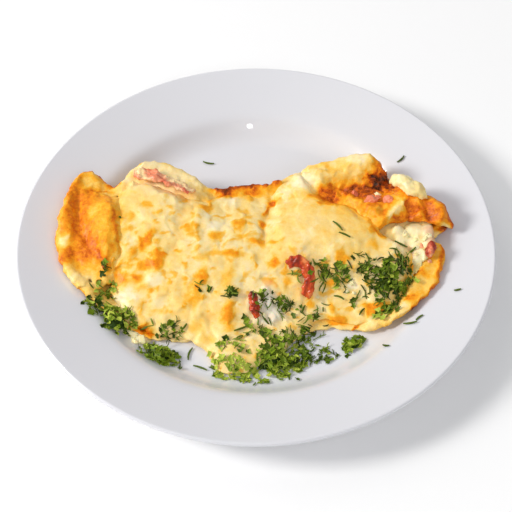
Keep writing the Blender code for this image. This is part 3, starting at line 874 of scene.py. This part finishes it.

# %% [markdown]
# ## The filling
#
# At the torn end the fold is open and soft curd shows inside: creamy, wet and lumpy, with a blush where
# ham lies in it. It runs through the whole omelette, as a filling does, and only its end is seen. Its
# lumps are listed one by one in the open end, and noise does for the rest.

# %% Shape the filling
OPEN_END_CURDS = [
    # x, y, radius, height
    (81, 2, 4.0, 3.0),
    (84, -2, 5.5, 2.4),
    (90, 3, 6.0, 2.6),
    (97, 2, 5.0, 2.6),
    (89, -5, 4.5, 2.2),
    (96, -5, 4.0, 2.0),
    (90, -14, 5.5, 3.0),
    (95, -18, 4.0, 1.6),
    (84, -10, 4.0, 1.6),
    (84, -17, 4.0, 1.4),
]

filling = soft_skin("curd_filling", "filling", 1.1, 2)

spots, facing = places(filling), facings(filling)
upward = eased_step(facing[:, 2], 0.1, 0.7)
spots = spots + facing * (0.7 * wander(spots, 6.0, 21.0, 2) + 0.3 * wander(spots, 2.5, 22.0))[:, None]
caps = capped(spots, OPEN_END_CURDS)
spots[:, 2] += (caps + 0.2) * upward
spots[:, :2] += pushed(spots, [(104, 4, 5.0, 0.5, -1.5, 99), (100, -3, 4.0, 1.0, 0, 99)])
move_to(filling, spots)
# Painted light and shade: the curd is painted paler on its lumps and yellower between them.
paint(filling, "baked_and_shaded", 0.20 - 0.09 * caps + 0.05 * wander(spots, 6.0, 23.0, 2))
blush = 0.6 * stroke(spots, [(98, 1), (99, -5)], 4.0) + 0.5 * stroke(spots, [(83, -8), (86, -12)], 3.5)
paint(filling, "blush", blush)

CURD_COLOURS = [
    (0.00, screen(252, 237, 190)),
    (0.12, screen(248, 226, 160)),
    (0.30, screen(234, 200, 116)),
]
HAM_BLUSH = screen(216, 146, 118)


def curd():
    """Wet curd, painted paler on its lumps and yellower in its hollows as painted light and shade; soft,
    because light goes deep into it.
    """
    finish = Finish("wet_curd")
    tone = finish.math("ADD", finish.painted("baked_and_shaded"), finish.math("MULTIPLY", finish.noise(500.0), 0.05))
    return finish.wear(
        base_color=finish.mix(finish.painted("blush"), finish.ramp(tone, CURD_COLOURS), HAM_BLUSH),
        roughness=0.38,
        normal=finish.bump(finish.noise(600.0, 3.0), 0.3 * MM),
        subsurface_weight=0.35,
        subsurface_scale=2.5 * MM,
        subsurface_radius=(1.0, 0.7, 0.45),
    )


curd_finish = curd()
dress(filling, curd_finish)
print("filling vertices:", len(filling.data.vertices))

# %% [markdown]
# ## The lump at the back
#
# One lump of curd has slipped out at the back of the torn end. It is longer and leaner than the frame's
# solid: it is drawn out along its own slope, low end down, and roughened at two sizes, because a curd
# breaks into crumbs of a few millimetres that hang together.

# %% Shape the curd lump
DOWN_SLOPE = np.array([0.77, -0.64, 0])
lump = soft_skin("curd_lump_soft", "curd_lump", 0.6, 14)
spots, facing = places(lump), facings(lump)
reach = (spots - spots.mean(axis=0)) @ DOWN_SLOPE
spots = spots + 0.25 * reach[:, None] * DOWN_SLOPE
spots[:, 1] -= 0.15 * np.maximum(reach, 0)
spots[:, 2] -= 0.5 + 0.08 * np.maximum(reach, 0)
spots = spots + facing * (1.3 * wander(spots, 6.0, 24.0) + 0.45 * wander(spots, 2.8, 25.0, 3))[:, None]
move_to(lump, spots)
# Painted shade: the lump is painted yellower low down, on its shaded underside; it is also yellower towards
# its low end.
underside = eased_step(-spots[:, 2], -30.0, -26.0)
low_end = eased_step(reach, 1.0, 8.0)
paint(lump, "baked_and_shaded", 0.06 + 0.10 * underside + 0.12 * low_end + 0.05 * wander(spots, 4.0, 26.0))
paint(lump, "blush", np.zeros(len(spots)))
dress(lump, curd_finish)
print("lump vertices:", len(spots))

# %% [markdown]
# ## Ham and pepper
#
# The ham is a thin pink slice between the cheese and the lip of the egg, frayed along its grain. The
# pepper is a curl of roasted flesh: dark red, wet, blistered, with a near-black skin side. Both tear along
# a grain, so one recipe makes all four pieces: noise stretched three times along the grain gives streaks,
# and the same streaks raise the surface and darken it.


# %% Shape the ham and the pepper
def flesh(name, node, voxel, seed, rough_size, rough_height, grain_turn, darker=0.0, spread=1.0):
    """A small piece of ham or pepper with a frayed surface, painted with where it is dark."""
    piece = soft_skin(name, node, voxel, 3)
    spots, facing = places(piece), facings(piece)
    fray = wander(spots, rough_size, seed, 3)
    c, s = turning(grain_turn)
    along, across = spots[:, 0] * c + spots[:, 1] * s, spots[:, 1] * c - spots[:, 0] * s
    streaks = wander(np.stack([along / 3, across, spots[:, 2]], axis=1), rough_size, seed + 1, 3)
    spots = spots + facing * (rough_height * fray + 0.3 * streaks)[:, None]
    centre = spots[:, :2].mean(axis=0)
    spots[:, :2] = centre + (spots[:, :2] - centre) * spread
    move_to(piece, spots)
    paint(piece, "dark", 0.42 + darker + 0.5 * streaks)
    return piece


ham = flesh("ham_slice_frayed", "ham_slice", 0.5, 31.0, 4.5, 1.4, -25, -0.05)
ham_bit = flesh("ham_bit_frayed", "ham_bit", 0.4, 33.0, 3.0, 0.7, 75, 0.30, 0.95)
move_to(ham_bit, places(ham_bit) + np.array([0.6, -1.6, -1.2]))
pepper = flesh("pepper_curl", "pepper_strip", 0.5, 35.0, 4.5, 1.1, 100)
pepper_bit = flesh("pepper_scrap", "pepper_bit", 0.4, 37.0, 3.0, 0.9, 100, 0.28, 1.05)
print("ham and pepper shaped")

# %% [markdown]
# ## Wet flesh
#
# Ham and pepper have one kind of finish in two sets of colours. The painted streaks pick the colour, fine
# noise shakes it, and a thin clear coat over the flesh is the juice on it.


# %% Colour the ham and the pepper
def juicy(name, stops, rough):
    """Wet flesh whose colour runs through the stops from its light to its dark places."""
    finish = Finish(name)
    shade = finish.math("ADD", finish.painted("dark"), finish.swing(finish.noise(800.0, 3.0), 0.35))
    return finish.wear(
        base_color=finish.ramp(shade, stops),
        roughness=rough,
        normal=finish.bump(finish.noise(800.0, 3.0), 0.3 * MM),
        subsurface_weight=0.12,
        subsurface_scale=1.2 * MM,
        subsurface_radius=(1.0, 0.3, 0.2),
        coat_weight=0.12,
        coat_roughness=0.2,
    )


HAM_COLOURS = [
    (0.05, screen(252, 218, 160)),
    (0.30, screen(246, 176, 130)),
    (0.60, screen(230, 118, 80)),
    (0.95, screen(158, 46, 20)),
]
PEPPER_COLOURS = [
    (0.05, screen(240, 140, 76)),
    (0.30, screen(218, 86, 26)),
    (0.60, screen(178, 48, 8)),
    (0.95, screen(66, 30, 6)),
]
ham_finish = juicy("cooked_ham_flesh", HAM_COLOURS, 0.40)
pepper_finish = juicy("roast_pepper_flesh", PEPPER_COLOURS, 0.30)
for piece, finish, slot in (
    (ham, ham_finish, "cooked_ham"),
    (ham_bit, ham_finish, "cooked_ham"),
    (pepper, pepper_finish, "roast_pepper"),
    (pepper_bit, pepper_finish, "roast_pepper"),
):
    dress(piece, finish)
print("ham and pepper coloured")

# %% [markdown]
# ## Where the herbs lie
#
# The herbs were scattered by hand from the front: a broad heap at the front edge, two tufts on the left
# and a dark pile on the right, with stray bits between. Each patch is an oval on the plan with its turn.
# It says how many leaves, threads and sprigs fall there, how high they pile up and how light they are.
# The single threads that catch the eye, and the largest leaves, have places of their own.

# %% Name the herb patches
PATCHES = [
    # x, y, half length, half width, turn, leaves, threads, sprigs, height, lightness
    (14, -72, 15, 11, 8, 250, 10, 6, 3.6, 0.36),  # front heap
    (12, -76, 13, 8, 0, 90, 2, 2, 3.6, 0.66),
    (-11, -81, 14, 6.5, -8, 130, 2, 1, 1.4, 0.76),
    (-12, -69, 10, 7, 0, 26, 4, 1, 0.5, 0.60),
    (8, -87, 15, 3, 4, 26, 2, 0, 0.8, 0.55),
    (10, -58, 20, 4, 0, 20, 8, 4, 0.5, 0.36),
    (28, -61, 8, 6, 0, 44, 8, 5, 1.6, 0.24),
    (33, -70, 8, 5, 10, 20, 6, 4, 0.6, 0.30),
    (43, -71, 8, 3, 10, 12, 2, 1, 0.4, 0.44),
    (53, -62, 7, 4.5, 30, 50, 3, 1, 1.8, 0.48),
    (-53, -71, 12, 7, -15, 160, 4, 3, 3.6, 0.42),  # low tuft
    (-46, -76, 11, 4, -10, 24, 6, 2, 0.8, 0.32),
    (-48, -58, 8, 4, 20, 14, 4, 3, 0.4, 0.32),
    (-76, -52, 11, 8, -15, 210, 4, 2, 4.6, 0.48),  # left tuft
    (-90, -44, 6, 5, -25, 40, 4, 2, 1.0, 0.22),
    (-82, -36, 7, 7, 30, 30, 5, 2, 0.8, 0.60),
    (-83, -24, 3, 4, 0, 5, 2, 2, 0.3, 0.14),
    (76, -28, 11, 11, -15, 170, 14, 8, 3.0, 0.18),  # dark pile
    (73, -37, 8, 7, 20, 50, 8, 4, 2.0, 0.14),
    (82, -19, 5, 4, 0, 12, 8, 3, 1.5, 0.08),
    (72, -46, 7, 4, 0, 26, 2, 1, 0.8, 0.42),
    (62, -24, 5, 6, 0, 10, 8, 4, 0.5, 0.22),
    (44, -27, 8, 6, 20, 30, 14, 6, 0.6, 0.40),  # between the pepper and the pile
    (37, -21, 5, 3, 0, 4, 5, 2, 0.4, 0.30),
    (58, -20, 7, 4, 0, 2, 6, 3, 0.3, 0.24),
    (15, -43, 6, 4, 0, 22, 8, 4, 1.0, 0.28),
    (4, -39, 5, 2, 10, 4, 3, 1, 0.4, 0.24),
    (-14, -40, 4, 4, 0, 6, 6, 2, 0.5, 0.18),
    (-29, -36, 3.5, 2.5, 0, 5, 3, 0, 0.5, 0.14),
    (21, -31, 2.5, 5, 0, 0, 3, 1, 0.2, 0.40),
    (45, -32, 22, 13, 0, 10, 26, 0, 0.3, 0.20),  # stray threads
    (28, -50, 17, 8, 0, 10, 16, 1, 0.3, 0.30),
    (3, -48, 13, 7, 0, 4, 9, 0, 0.3, 0.30),
    (72, -22, 13, 11, 0, 8, 16, 0, 1.0, 0.14),
    (-52, -58, 13, 6, 0, 6, 9, 1, 0.3, 0.32),
    (-84, -34, 9, 9, 0, 4, 8, 0, 0.4, 0.30),
    (-10, -62, 12, 8, 0, 4, 5, 0, 0.3, 0.40),
]
STICKS = [
    # x, y, length, turn
    (46, 0, 8.5, -54),
    (49.5, -6, 7.0, -28),
    (81, -8, 8.0, -25),
    (88, -10, 6.0, 8),
    (-30, -78, 8.0, -22),
    (-36, -69, 8.0, 75),
    (-39, -55, 4.0, 60),
    (5, -52, 6.0, -50),
    (-8, -57, 9.0, 28),
    (26, -45, 5.0, 70),
    (33, -47, 4.0, 80),
    (54, -40, 6.0, 30),
    (58, -46, 5.0, 55),
    (46, -38, 6.0, -25),
    (-29, 70, 7.0, -14),
    (87, 63, 6.0, 40),
    (111, -36, 4.0, 5),
    (70, -69, 4.5, -35),
    (84, -55, 8.0, -10),
    (89, -52, 5.0, 35),
    (-77, 6, 1.5, 0),
]
BIG_LEAVES = [
    # x, y, size, turn
    (87, -27, 7.0, 20),
    (89, -30, 7.0, -50),
    (85, -29, 6.0, 80),
    (66, -49, 7.5, 0),
    (70, -51, 5.0, 40),
    (44, -33, 5.5, 15),
    (-92, -42, 7.0, -30),
    (-86, -46, 7.0, 10),
    (-24, -72, 5.0, 60),
]
HERB_NODES = [name for name in sorted(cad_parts) if name.startswith("herb_")]
print(len(PATCHES), "patches,", sum(p[5] for p in PATCHES), "leaves,", sum(p[7] for p in PATCHES), "sprigs")

# %% [markdown]
# ## The core of each heap
#
# A heap of chopped leaves is dark and closed inside. A shrunken, rough copy of each plain heap fills its
# middle, so that no light shows through the loose leaves on top, and it is coloured a darker green than
# the leaves, as painted shade inside the heap. The outskirts stay open.

# %% Make the cores
CORE_WIDTH, CORE_HEIGHT = 0.48, 0.36
herb_cores = []
for node in HERB_NODES:
    core = soft_skin(f"core_of_{node}", node, 0.9, 2)
    spots, facing = places(core), facings(core)
    low = spots[:, 2].min()
    middle = spots[:, :2].mean(axis=0)
    spots[:, :2] = middle + (spots[:, :2] - middle) * CORE_WIDTH
    spots[:, 2] = low - 0.8 + (spots[:, 2] - low) * CORE_HEIGHT
    spots = spots + facing * (0.8 * wander(spots, 2.5, 41.0))[:, None]
    move_to(core, spots)
    herb_cores.append(core)
print("cores:", len(herb_cores))

# %% [markdown]
# ## Dropping leaves with rays
#
# To lie on the food, a leaf has to know where the food is. All surfaces are gathered into one search
# tree, and a ray straight down finds the spot and which way the surface faces there.


# %% Gather the surfaces
def search_tree(pieces):
    """One tree of all faces of the pieces, in millimetres."""
    points, faces = [], []
    for piece in pieces:
        start = len(points)
        points += [Vector(v) for v in places(piece)]
        faces += [tuple(start + i for i in face.vertices) for face in piece.data.polygons]
    return BVHTree.FromPolygons(points, faces)


def fall(tree, x, y):
    """Where a thing let go above the dish meets a tree's surfaces, and their facing there."""
    spot, normal, _, _ = tree.ray_cast(Vector((x, y, 80)), Vector((0, 0, -1)))
    return spot, normal


open_end_tree = search_tree([filling])
ground_tree = search_tree([plate, egg, cheese, filling, lump, ham, pepper, pepper_bit, *herb_cores])


def drop(x, y):
    """Where a thing lands on the dish; one that misses it stays at the height of the rim."""
    spot, normal = fall(ground_tree, x, y)
    return (spot, normal) if spot else (Vector((x, y, RIM_Z)), Vector((0, 0, 1)))


print("the middle of the dish is", round(drop(0, 0)[0].z, 1), "mm up")

# %% [markdown]
# ## Chopped leaves, threads and sprigs
#
# A chopped leaf is a creased scrap with uneven lobes. Dill is a short bent thread, or a sprig of threads
# on a stem. Each scrap is a closed shell, so that it has two sides. They are gathered one after another
# into one long list of points, which becomes one mesh for each kind: quick to make and light to store. A
# number painted on each scrap gives it its own green.

# %% Gather scraps into one mesh
random.seed(20)


class Scraps:
    """Many small closed shells gathered into one mesh."""

    def __init__(self):
        self.points, self.faces, self.tints = [], [], []

    def add(self, points, faces, tint):
        start = len(self.points)
        self.points += points
        self.faces += [tuple(start + i for i in face) for face in faces]
        self.tints += [tint] * len(points)

    def piece(self, name, slot, number):
        """One object of all the scraps, with their numbers painted on under the name given."""
        data = bpy.data.meshes.new(name)
        data.from_pydata([p * MM for p in self.points], [], self.faces)
        data.update()
        made = bpy.data.objects.new(name, data)
        paint(made, number, np.array(self.tints))
        bpy.context.scene.collection.objects.link(made)
        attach(made, "root")
        return made


def resting(spot, normal, lift, lean, turn=None):
    """A placement on a surface, leaning by up to lean degrees; turned at random unless a turn is given."""
    if turn is None:
        up, angle = normal.to_track_quat("Z", "Y"), random.uniform(0, math.tau)
    else:
        up, angle = Vector((0, 0, 1)).rotation_difference(normal), math.radians(turn)
    spin = Matrix.Rotation(angle, 4, "Z")
    tip = Matrix.Rotation(math.radians(random.uniform(-lean, lean)), 4, "X")
    return Matrix.Translation(spot + normal * lift) @ up.to_matrix().to_4x4() @ spin @ tip


print("seeded, with no scraps yet:", len(Scraps().points))

# %% [markdown]
# ## The shape of a scrap
#
# A leaf starts as a ring of points whose reach goes out and in by turns, which gives the lobes. It is
# creased along its middle vein and curled along its length, then doubled for its underside. A thread is a
# bent tube of five sides, fat in the middle and thin at both ends, which is enough for something half a
# millimetre thick.


# %% Make a leaf, a thread or a sprig
LEAF_THICK = 0.2


def add_leaf(scraps, place, size, tint):
    """A creased scrap of leaf with uneven lobes."""
    corners = random.randint(7, 10)
    slim = random.uniform(0.45, 0.9)
    crease = random.uniform(0.2, 0.8)
    curl = random.uniform(-0.15, 0.3) * size
    rim = []
    for i in range(corners):
        angle = math.tau * (i + random.uniform(-0.3, 0.3)) / corners
        reach = size * (random.uniform(0.8, 1.1) if i % 2 else random.uniform(0.4, 0.75)) / 2
        x, y = reach * math.cos(angle), slim * reach * math.sin(angle)
        rim.append(Vector((x, y, crease * abs(y) + curl * (2 * x / size) ** 2)))
    thick = Vector((0, 0, LEAF_THICK))
    top = [place @ p for p in [Vector((0, 0, 0)), *rim]]
    under = [place @ (p - thick) for p in [Vector((0, 0, 0)), *rim]]
    n = corners + 1
    faces = []
    for i in range(1, n):
        j = i % corners + 1
        faces += [(0, i, j), (n, n + j, n + i), (i, n + i, n + j, j)]
    scraps.add(top + under, faces, tint)


def add_thread(scraps, place, length, radius, tint, bend=None):
    """A short bent tube, thinner towards both ends."""
    bend = random.uniform(-0.2, 0.2) * length if bend is None else bend
    sides, steps = 5, 4
    rings = []
    for k in range(steps + 1):
        t = k / steps
        girth = radius * (0.5 + 0.5 * math.sin(math.pi * min(max(t, 0.08), 0.92)))
        middle = Vector(((t - 0.5) * length, bend * (4 * t * (1 - t) - 0.5), radius))
        for i in range(sides):
            a = math.tau * i / sides
            rings.append(place @ (middle + Vector((0, girth * math.cos(a), girth * math.sin(a)))))
    faces = [tuple(range(sides))[::-1], tuple(range(steps * sides, (steps + 1) * sides))]
    for k in range(steps):
        for i in range(sides):
            j = (i + 1) % sides
            faces.append((k * sides + i, k * sides + j, (k + 1) * sides + j, (k + 1) * sides + i))
    scraps.add(rings, faces, tint)


def add_sprig(scraps, place, length, tint):
    """A stem with short threads on both sides, as on a frond of dill."""
    add_thread(scraps, place, length, 0.28, tint, 0)
    for k in range(random.randint(2, 5)):
        t = random.uniform(-0.4, 0.5)
        side = 1 if k % 2 else -1
        reach = random.uniform(1.4, 4.2)
        turn = Matrix.Rotation(side * math.radians(random.uniform(15, 50)), 4, "Z")
        tip = Matrix.Rotation(math.radians(random.uniform(-25, 5)), 4, "Y")
        start = Matrix.Translation(Vector((t * length, 0, 0)))
        out = Matrix.Translation(Vector((reach / 2, 0, 0)))
        add_thread(scraps, place @ start @ turn @ tip @ out, reach, 0.26, tint + random.uniform(-0.08, 0.12))


print("a leaf has two sides", LEAF_THICK, "mm apart")

# %% [markdown]
# ## Scattering
#
# Herbs fall thickest in the middle of a patch. The distance from the middle is a random number raised to
# a power: 0.5 would spread them evenly over the oval, and 0.55 draws them in a little. Noise then leaves
# gaps between clumps, and the pile is highest in the middle.


# %% Scatter the herbs
def clustered(x, y):
    """Whether a leaf may lie here: chopped herbs fall in clumps with gaps between."""
    return noise.noise(Vector((x / 4.5, y / 4.5, 3.3))) + 0.62 > random.random() * 0.9


leaves, threads = Scraps(), Scraps()
for x, y, long, wide, turn, leaf_count, thread_count, sprig_count, height, lightness in PATCHES:
    c, s = turning(turn)
    kinds = ["leaf"] * leaf_count + ["thread"] * thread_count + ["sprig"] * sprig_count
    for kind in kinds:
        far = random.random() ** 0.55
        angle = random.uniform(0, math.tau)
        u, v = long * far * math.cos(angle), wide * far * math.sin(angle)
        px, py = x + u * c - v * s, y + u * s + v * c
        if kind == "leaf" and not clustered(px, py):
            continue
        spot, normal = drop(px, py)
        pile = height * (1 - far * far) * random.random()
        # Painted light and shade: leaves high in a pile are tinted a little lighter, low ones darker.
        shade = min(1.0, max(0.0, random.gauss(lightness, 0.26) + 0.05 * (pile - 1)))
        if kind == "leaf":
            add_leaf(leaves, resting(spot, normal, 0.4 + pile, 42), random.uniform(2.6, 5.6), shade)
        elif kind == "thread":
            girth = random.uniform(0.30, 0.50)
            add_thread(threads, resting(spot, normal, 0.1 + pile, 18), random.uniform(2.5, 6.0), girth, shade)
        else:
            add_sprig(threads, resting(spot, normal, 0.3 + pile, 25), random.uniform(4.0, 7.5), shade)
for x, y, size, turn in BIG_LEAVES:
    spot, normal = drop(x, y)
    add_leaf(leaves, resting(spot, normal, 1.2, 10, turn), size, 0.74)
for x, y, length, turn in STICKS:
    spot, normal = drop(x, y)
    shade = random.uniform(0.1, 0.3)
    place = resting(spot, normal, 0.1, 3, turn)
    add_thread(threads, place, length, 0.62, shade, random.uniform(-0.12, 0.12) * length)

parsley = leaves.piece("chopped_parsley", "chopped_herb", "tint")
dill = threads.piece("dill_threads", "chopped_herb", "tint")
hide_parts(*HERB_NODES)
print("parsley faces:", len(parsley.data.polygons), "dill faces:", len(dill.data.polygons))

# %% [markdown]
# ## Crumbs of curd and ham
#
# Where the fold is torn, the filling has broken into crumbs, and a few more lie on the cheese and by the
# edge of the egg. They are made as the herbs are, with a small ball in place of a leaf, flattened and
# pushed about by noise until it isn't round any more.

# %% Name the crumbs
CURD_CRUMBS = [
    # x, y, size
    (70, 27, 4.6),
    (53, -31, 3.6),
    (50, -35, 3.0),
    (54, -36, 2.4),
    (-68, -57, 11.0),
    (-62, -60, 9.0),
    (-66, -62, 6.0),
    (10, -42, 3.4),
    (14, -44, 2.6),
    (4, -50, 3.2),
    (34, -38, 2.4),
]
HAM_CRUMBS = [
    # x, y, size
    (66, 21, 8.5),
    (75, 21, 6.5),
    (70, 24, 4.4),
    (57, 29, 4.6),
    (93, -8, 3.6),
    (97, -17, 3.0),
]
LOOSE_CRUMBS = 16
print(len(CURD_CRUMBS), "crumbs of curd and", len(HAM_CRUMBS), "of ham have their own places")


# %% Scatter the crumbs
def add_crumb(scraps, place, size, tint):
    """A rounded, lumpy crumb."""
    ball = bmesh.new()
    bmesh.ops.create_icosphere(ball, subdivisions=2, radius=size / 2)
    seed = Vector((random.random() * 50, 0, 0))
    squash = Vector((1, random.uniform(0.65, 0.95), random.uniform(0.38, 0.62)))
    points = []
    for v in ball.verts:
        bulge = 1 + 0.6 * noise.noise(v.co * 3.0 / size + seed)
        points.append(place @ Vector(v.co[i] * squash[i] * bulge for i in range(3)))
    faces = [tuple(v.index for v in face.verts) for face in ball.faces]
    ball.free()
    scraps.add(points, faces, tint)


curd_crumbs, ham_crumbs = Scraps(), Scraps()
for x, y, size in CURD_CRUMBS:
    spot, normal = drop(x, y)
    add_crumb(curd_crumbs, resting(spot, normal, 0.1 * size, 15), size, random.uniform(0.0, 0.06))
for _ in range(LOOSE_CRUMBS):
    x, y = random.uniform(82, 101), random.uniform(-20, 6)
    spot, normal = fall(open_end_tree, x, y)
    if spot and fall(ground_tree, x, y)[0].z < spot.z + 0.4:  # nothing lies over the curd here
        size = random.uniform(2.4, 4.4)
        add_crumb(curd_crumbs, resting(spot, normal, 0, 20), size, random.uniform(0.0, 0.12))
for x, y, size in HAM_CRUMBS:
    spot, normal = drop(x, y)
    add_crumb(ham_crumbs, resting(spot, normal, 0.0, 15), size, random.uniform(0.15, 0.6))
crumbs = curd_crumbs.piece("curd_crumbs", "soft_curd", "baked_and_shaded")
dice = ham_crumbs.piece("ham_crumbs", "cooked_ham", "dark")
dress(crumbs, curd_finish)
dress(dice, ham_finish)
print("crumbs:", len(crumbs.data.polygons) // 80, "of curd and", len(dice.data.polygons) // 80, "of ham")

# %% [markdown]
# ## The greens
#
# Fresh chopped parsley runs from near black in its own shade to yellow green where it is thin. The
# painted tint picks each scrap's place on that scale, and a little noise keeps a scrap from being flat.


# %% Colour the herbs
def green(name, dark, middle, light, rough):
    """Herb green from its dark to its light tint, with fine veins in relief."""
    finish = Finish(name)
    tint = finish.math("ADD", finish.painted("tint"), finish.math("MULTIPLY", finish.noise(700.0), 0.2))
    return finish.wear(
        base_color=finish.ramp(tint, [(0.1, dark), (0.55, middle), (1.0, light)]),
        roughness=rough,
        normal=finish.bump(finish.noise(1800.0, 2.0), 0.1 * MM),
        specular_ior_level=0.25,
        subsurface_weight=0.1,
        subsurface_scale=0.6 * MM,
        subsurface_radius=(0.4, 1.0, 0.2),
    )


leaf_finish = green("parsley_green", screen(50, 68, 6), screen(120, 144, 26), screen(194, 206, 80), 0.5)
thread_finish = green("dill_green", screen(54, 64, 8), screen(100, 122, 26), screen(160, 174, 66), 0.5)
# The cores' greens are darker than the leaves': painted shade inside the heaps.
core_shade_finish = green("core_shade_green", screen(24, 38, 8), screen(48, 70, 16), screen(66, 92, 24), 0.7)
dress(parsley, leaf_finish)
dress(dill, thread_finish)
for core in herb_cores:
    dress(core, core_shade_finish)
    paint(core, "tint", np.full(len(core.data.vertices), 0.4))
print("herbs coloured")

# %% [markdown]
# ## Floor and light
#
# The dish stands on a plain white floor in soft daylight. The window is a large lamp low on the left,
# and it draws the soft shadows to the right. Two wide panels, behind and in front, work as pale walls do
# and keep those shadows light, and a dim sky fills the rest.
#
# A tiny lamp puts the one clear spark on the back wall of the well. Glaze is a mirror there, so the height
# of that lamp was worked out from the slope of the wall. The two panels stay out of the mirror, because
# their reflections would lay hard-edged bands beside the spark.

# %% Lay the floor
SIDE = 3.0
floor_mesh = bpy.data.meshes.new("floor")
corners = [(-SIDE, -SIDE, 0), (SIDE, -SIDE, 0), (SIDE, SIDE, 0), (-SIDE, SIDE, 0)]
floor_mesh.from_pydata(corners, [], [(0, 1, 2, 3)])
floor = bpy.data.objects.new("floor", floor_mesh)
bpy.context.scene.collection.objects.link(floor)
floor_finish = Finish("floor_white")
floor_colour = floor_finish.mix(floor_finish.noise(2.0), screen(250, 250, 250), screen(253, 253, 253))
dress(floor, floor_finish.wear(base_color=floor_colour, roughness=0.9))
print("floor laid,", 2 * SIDE, "m wide")

# %% Hang the lamps
LAMPS = [
    # name, azimuth, elevation, distance, size, watts, colour, whether the glaze mirrors it
    ("window", 86, 33, 3.2, 0.80, 78.0, (1.0, 0.985, 0.96), True),
    ("back_panel", 140, 38, 3.2, 2.2, 18.0, (1.0, 0.99, 0.97), False),
    ("front_panel", -20, 50, 3.2, 2.0, 26.0, (1.0, 1.0, 1.0), False),
    ("spark", -5, 57.4, 1.5, 0.05, 0.5, (1.0, 1.0, 1.0), True),
]
SKY, SKY_STRENGTH = (0.955, 0.965, 1.0, 1.0), 0.37


def lamp(name, azimuth, elevation, distance, size, watts, colour, mirrored):
    """A square soft light that looks at the dish; azimuth 0 is in front and 90 on the left."""
    cos_a, sin_a = turning(azimuth)
    cos_e, sin_e = turning(elevation)
    place = Vector((-sin_a * cos_e, -cos_a * cos_e, sin_e)) * distance
    light = bpy.data.lights.new(name, "AREA")
    light.size = size
    light.energy = watts
    light.color = colour
    piece = bpy.data.objects.new(name, light)
    piece.location = place
    piece.rotation_euler = (-place).to_track_quat("-Z", "Y").to_euler()
    piece.visible_glossy = mirrored
    bpy.context.scene.collection.objects.link(piece)


for entry in LAMPS:
    lamp(*entry)
world = bpy.data.worlds.new("sky")
world.use_nodes = True
background = world.node_tree.nodes["Background"]
background.inputs["Color"].default_value = SKY
background.inputs["Strength"].default_value = SKY_STRENGTH
bpy.context.scene.world = world
bpy.context.scene.view_settings.view_transform = "Standard"
print("lamps:", ", ".join(entry[0] for entry in LAMPS))

# %% [markdown]
# ## The camera
#
# A dish is looked at from where the eater sits: from the front and well above, so that the top is seen
# almost in plan and the front edge still shows its height. A long lens from 70 cm keeps the plate's oval
# even, where a wide one would swell its near side.

# %% Place the camera
AIM = Vector((0, -0.01585, 0.024))
ELEVATION = math.radians(52.134)
DISTANCE = 0.70
camera = bpy.data.cameras.new("camera")
camera.lens = 88.4
camera.sensor_width = 36
eye = bpy.data.objects.new("camera", camera)
eye.location = AIM + DISTANCE * Vector((0, -math.cos(ELEVATION), math.sin(ELEVATION)))
eye.rotation_euler = (math.pi / 2 - ELEVATION, 0, 0)
bpy.context.scene.collection.objects.link(eye)
bpy.context.scene.camera = eye
print("camera at", [round(v, 3) for v in eye.location])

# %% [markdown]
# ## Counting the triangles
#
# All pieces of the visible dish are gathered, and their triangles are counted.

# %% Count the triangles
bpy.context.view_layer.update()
dish = [plate, egg, cheese, filling, lump, ham, ham_bit, pepper, pepper_bit]
dish += [*herb_cores, parsley, dill, crumbs, dice]
print("triangles:", sum(len(piece.data.loops) - 2 * len(piece.data.polygons) for piece in dish))
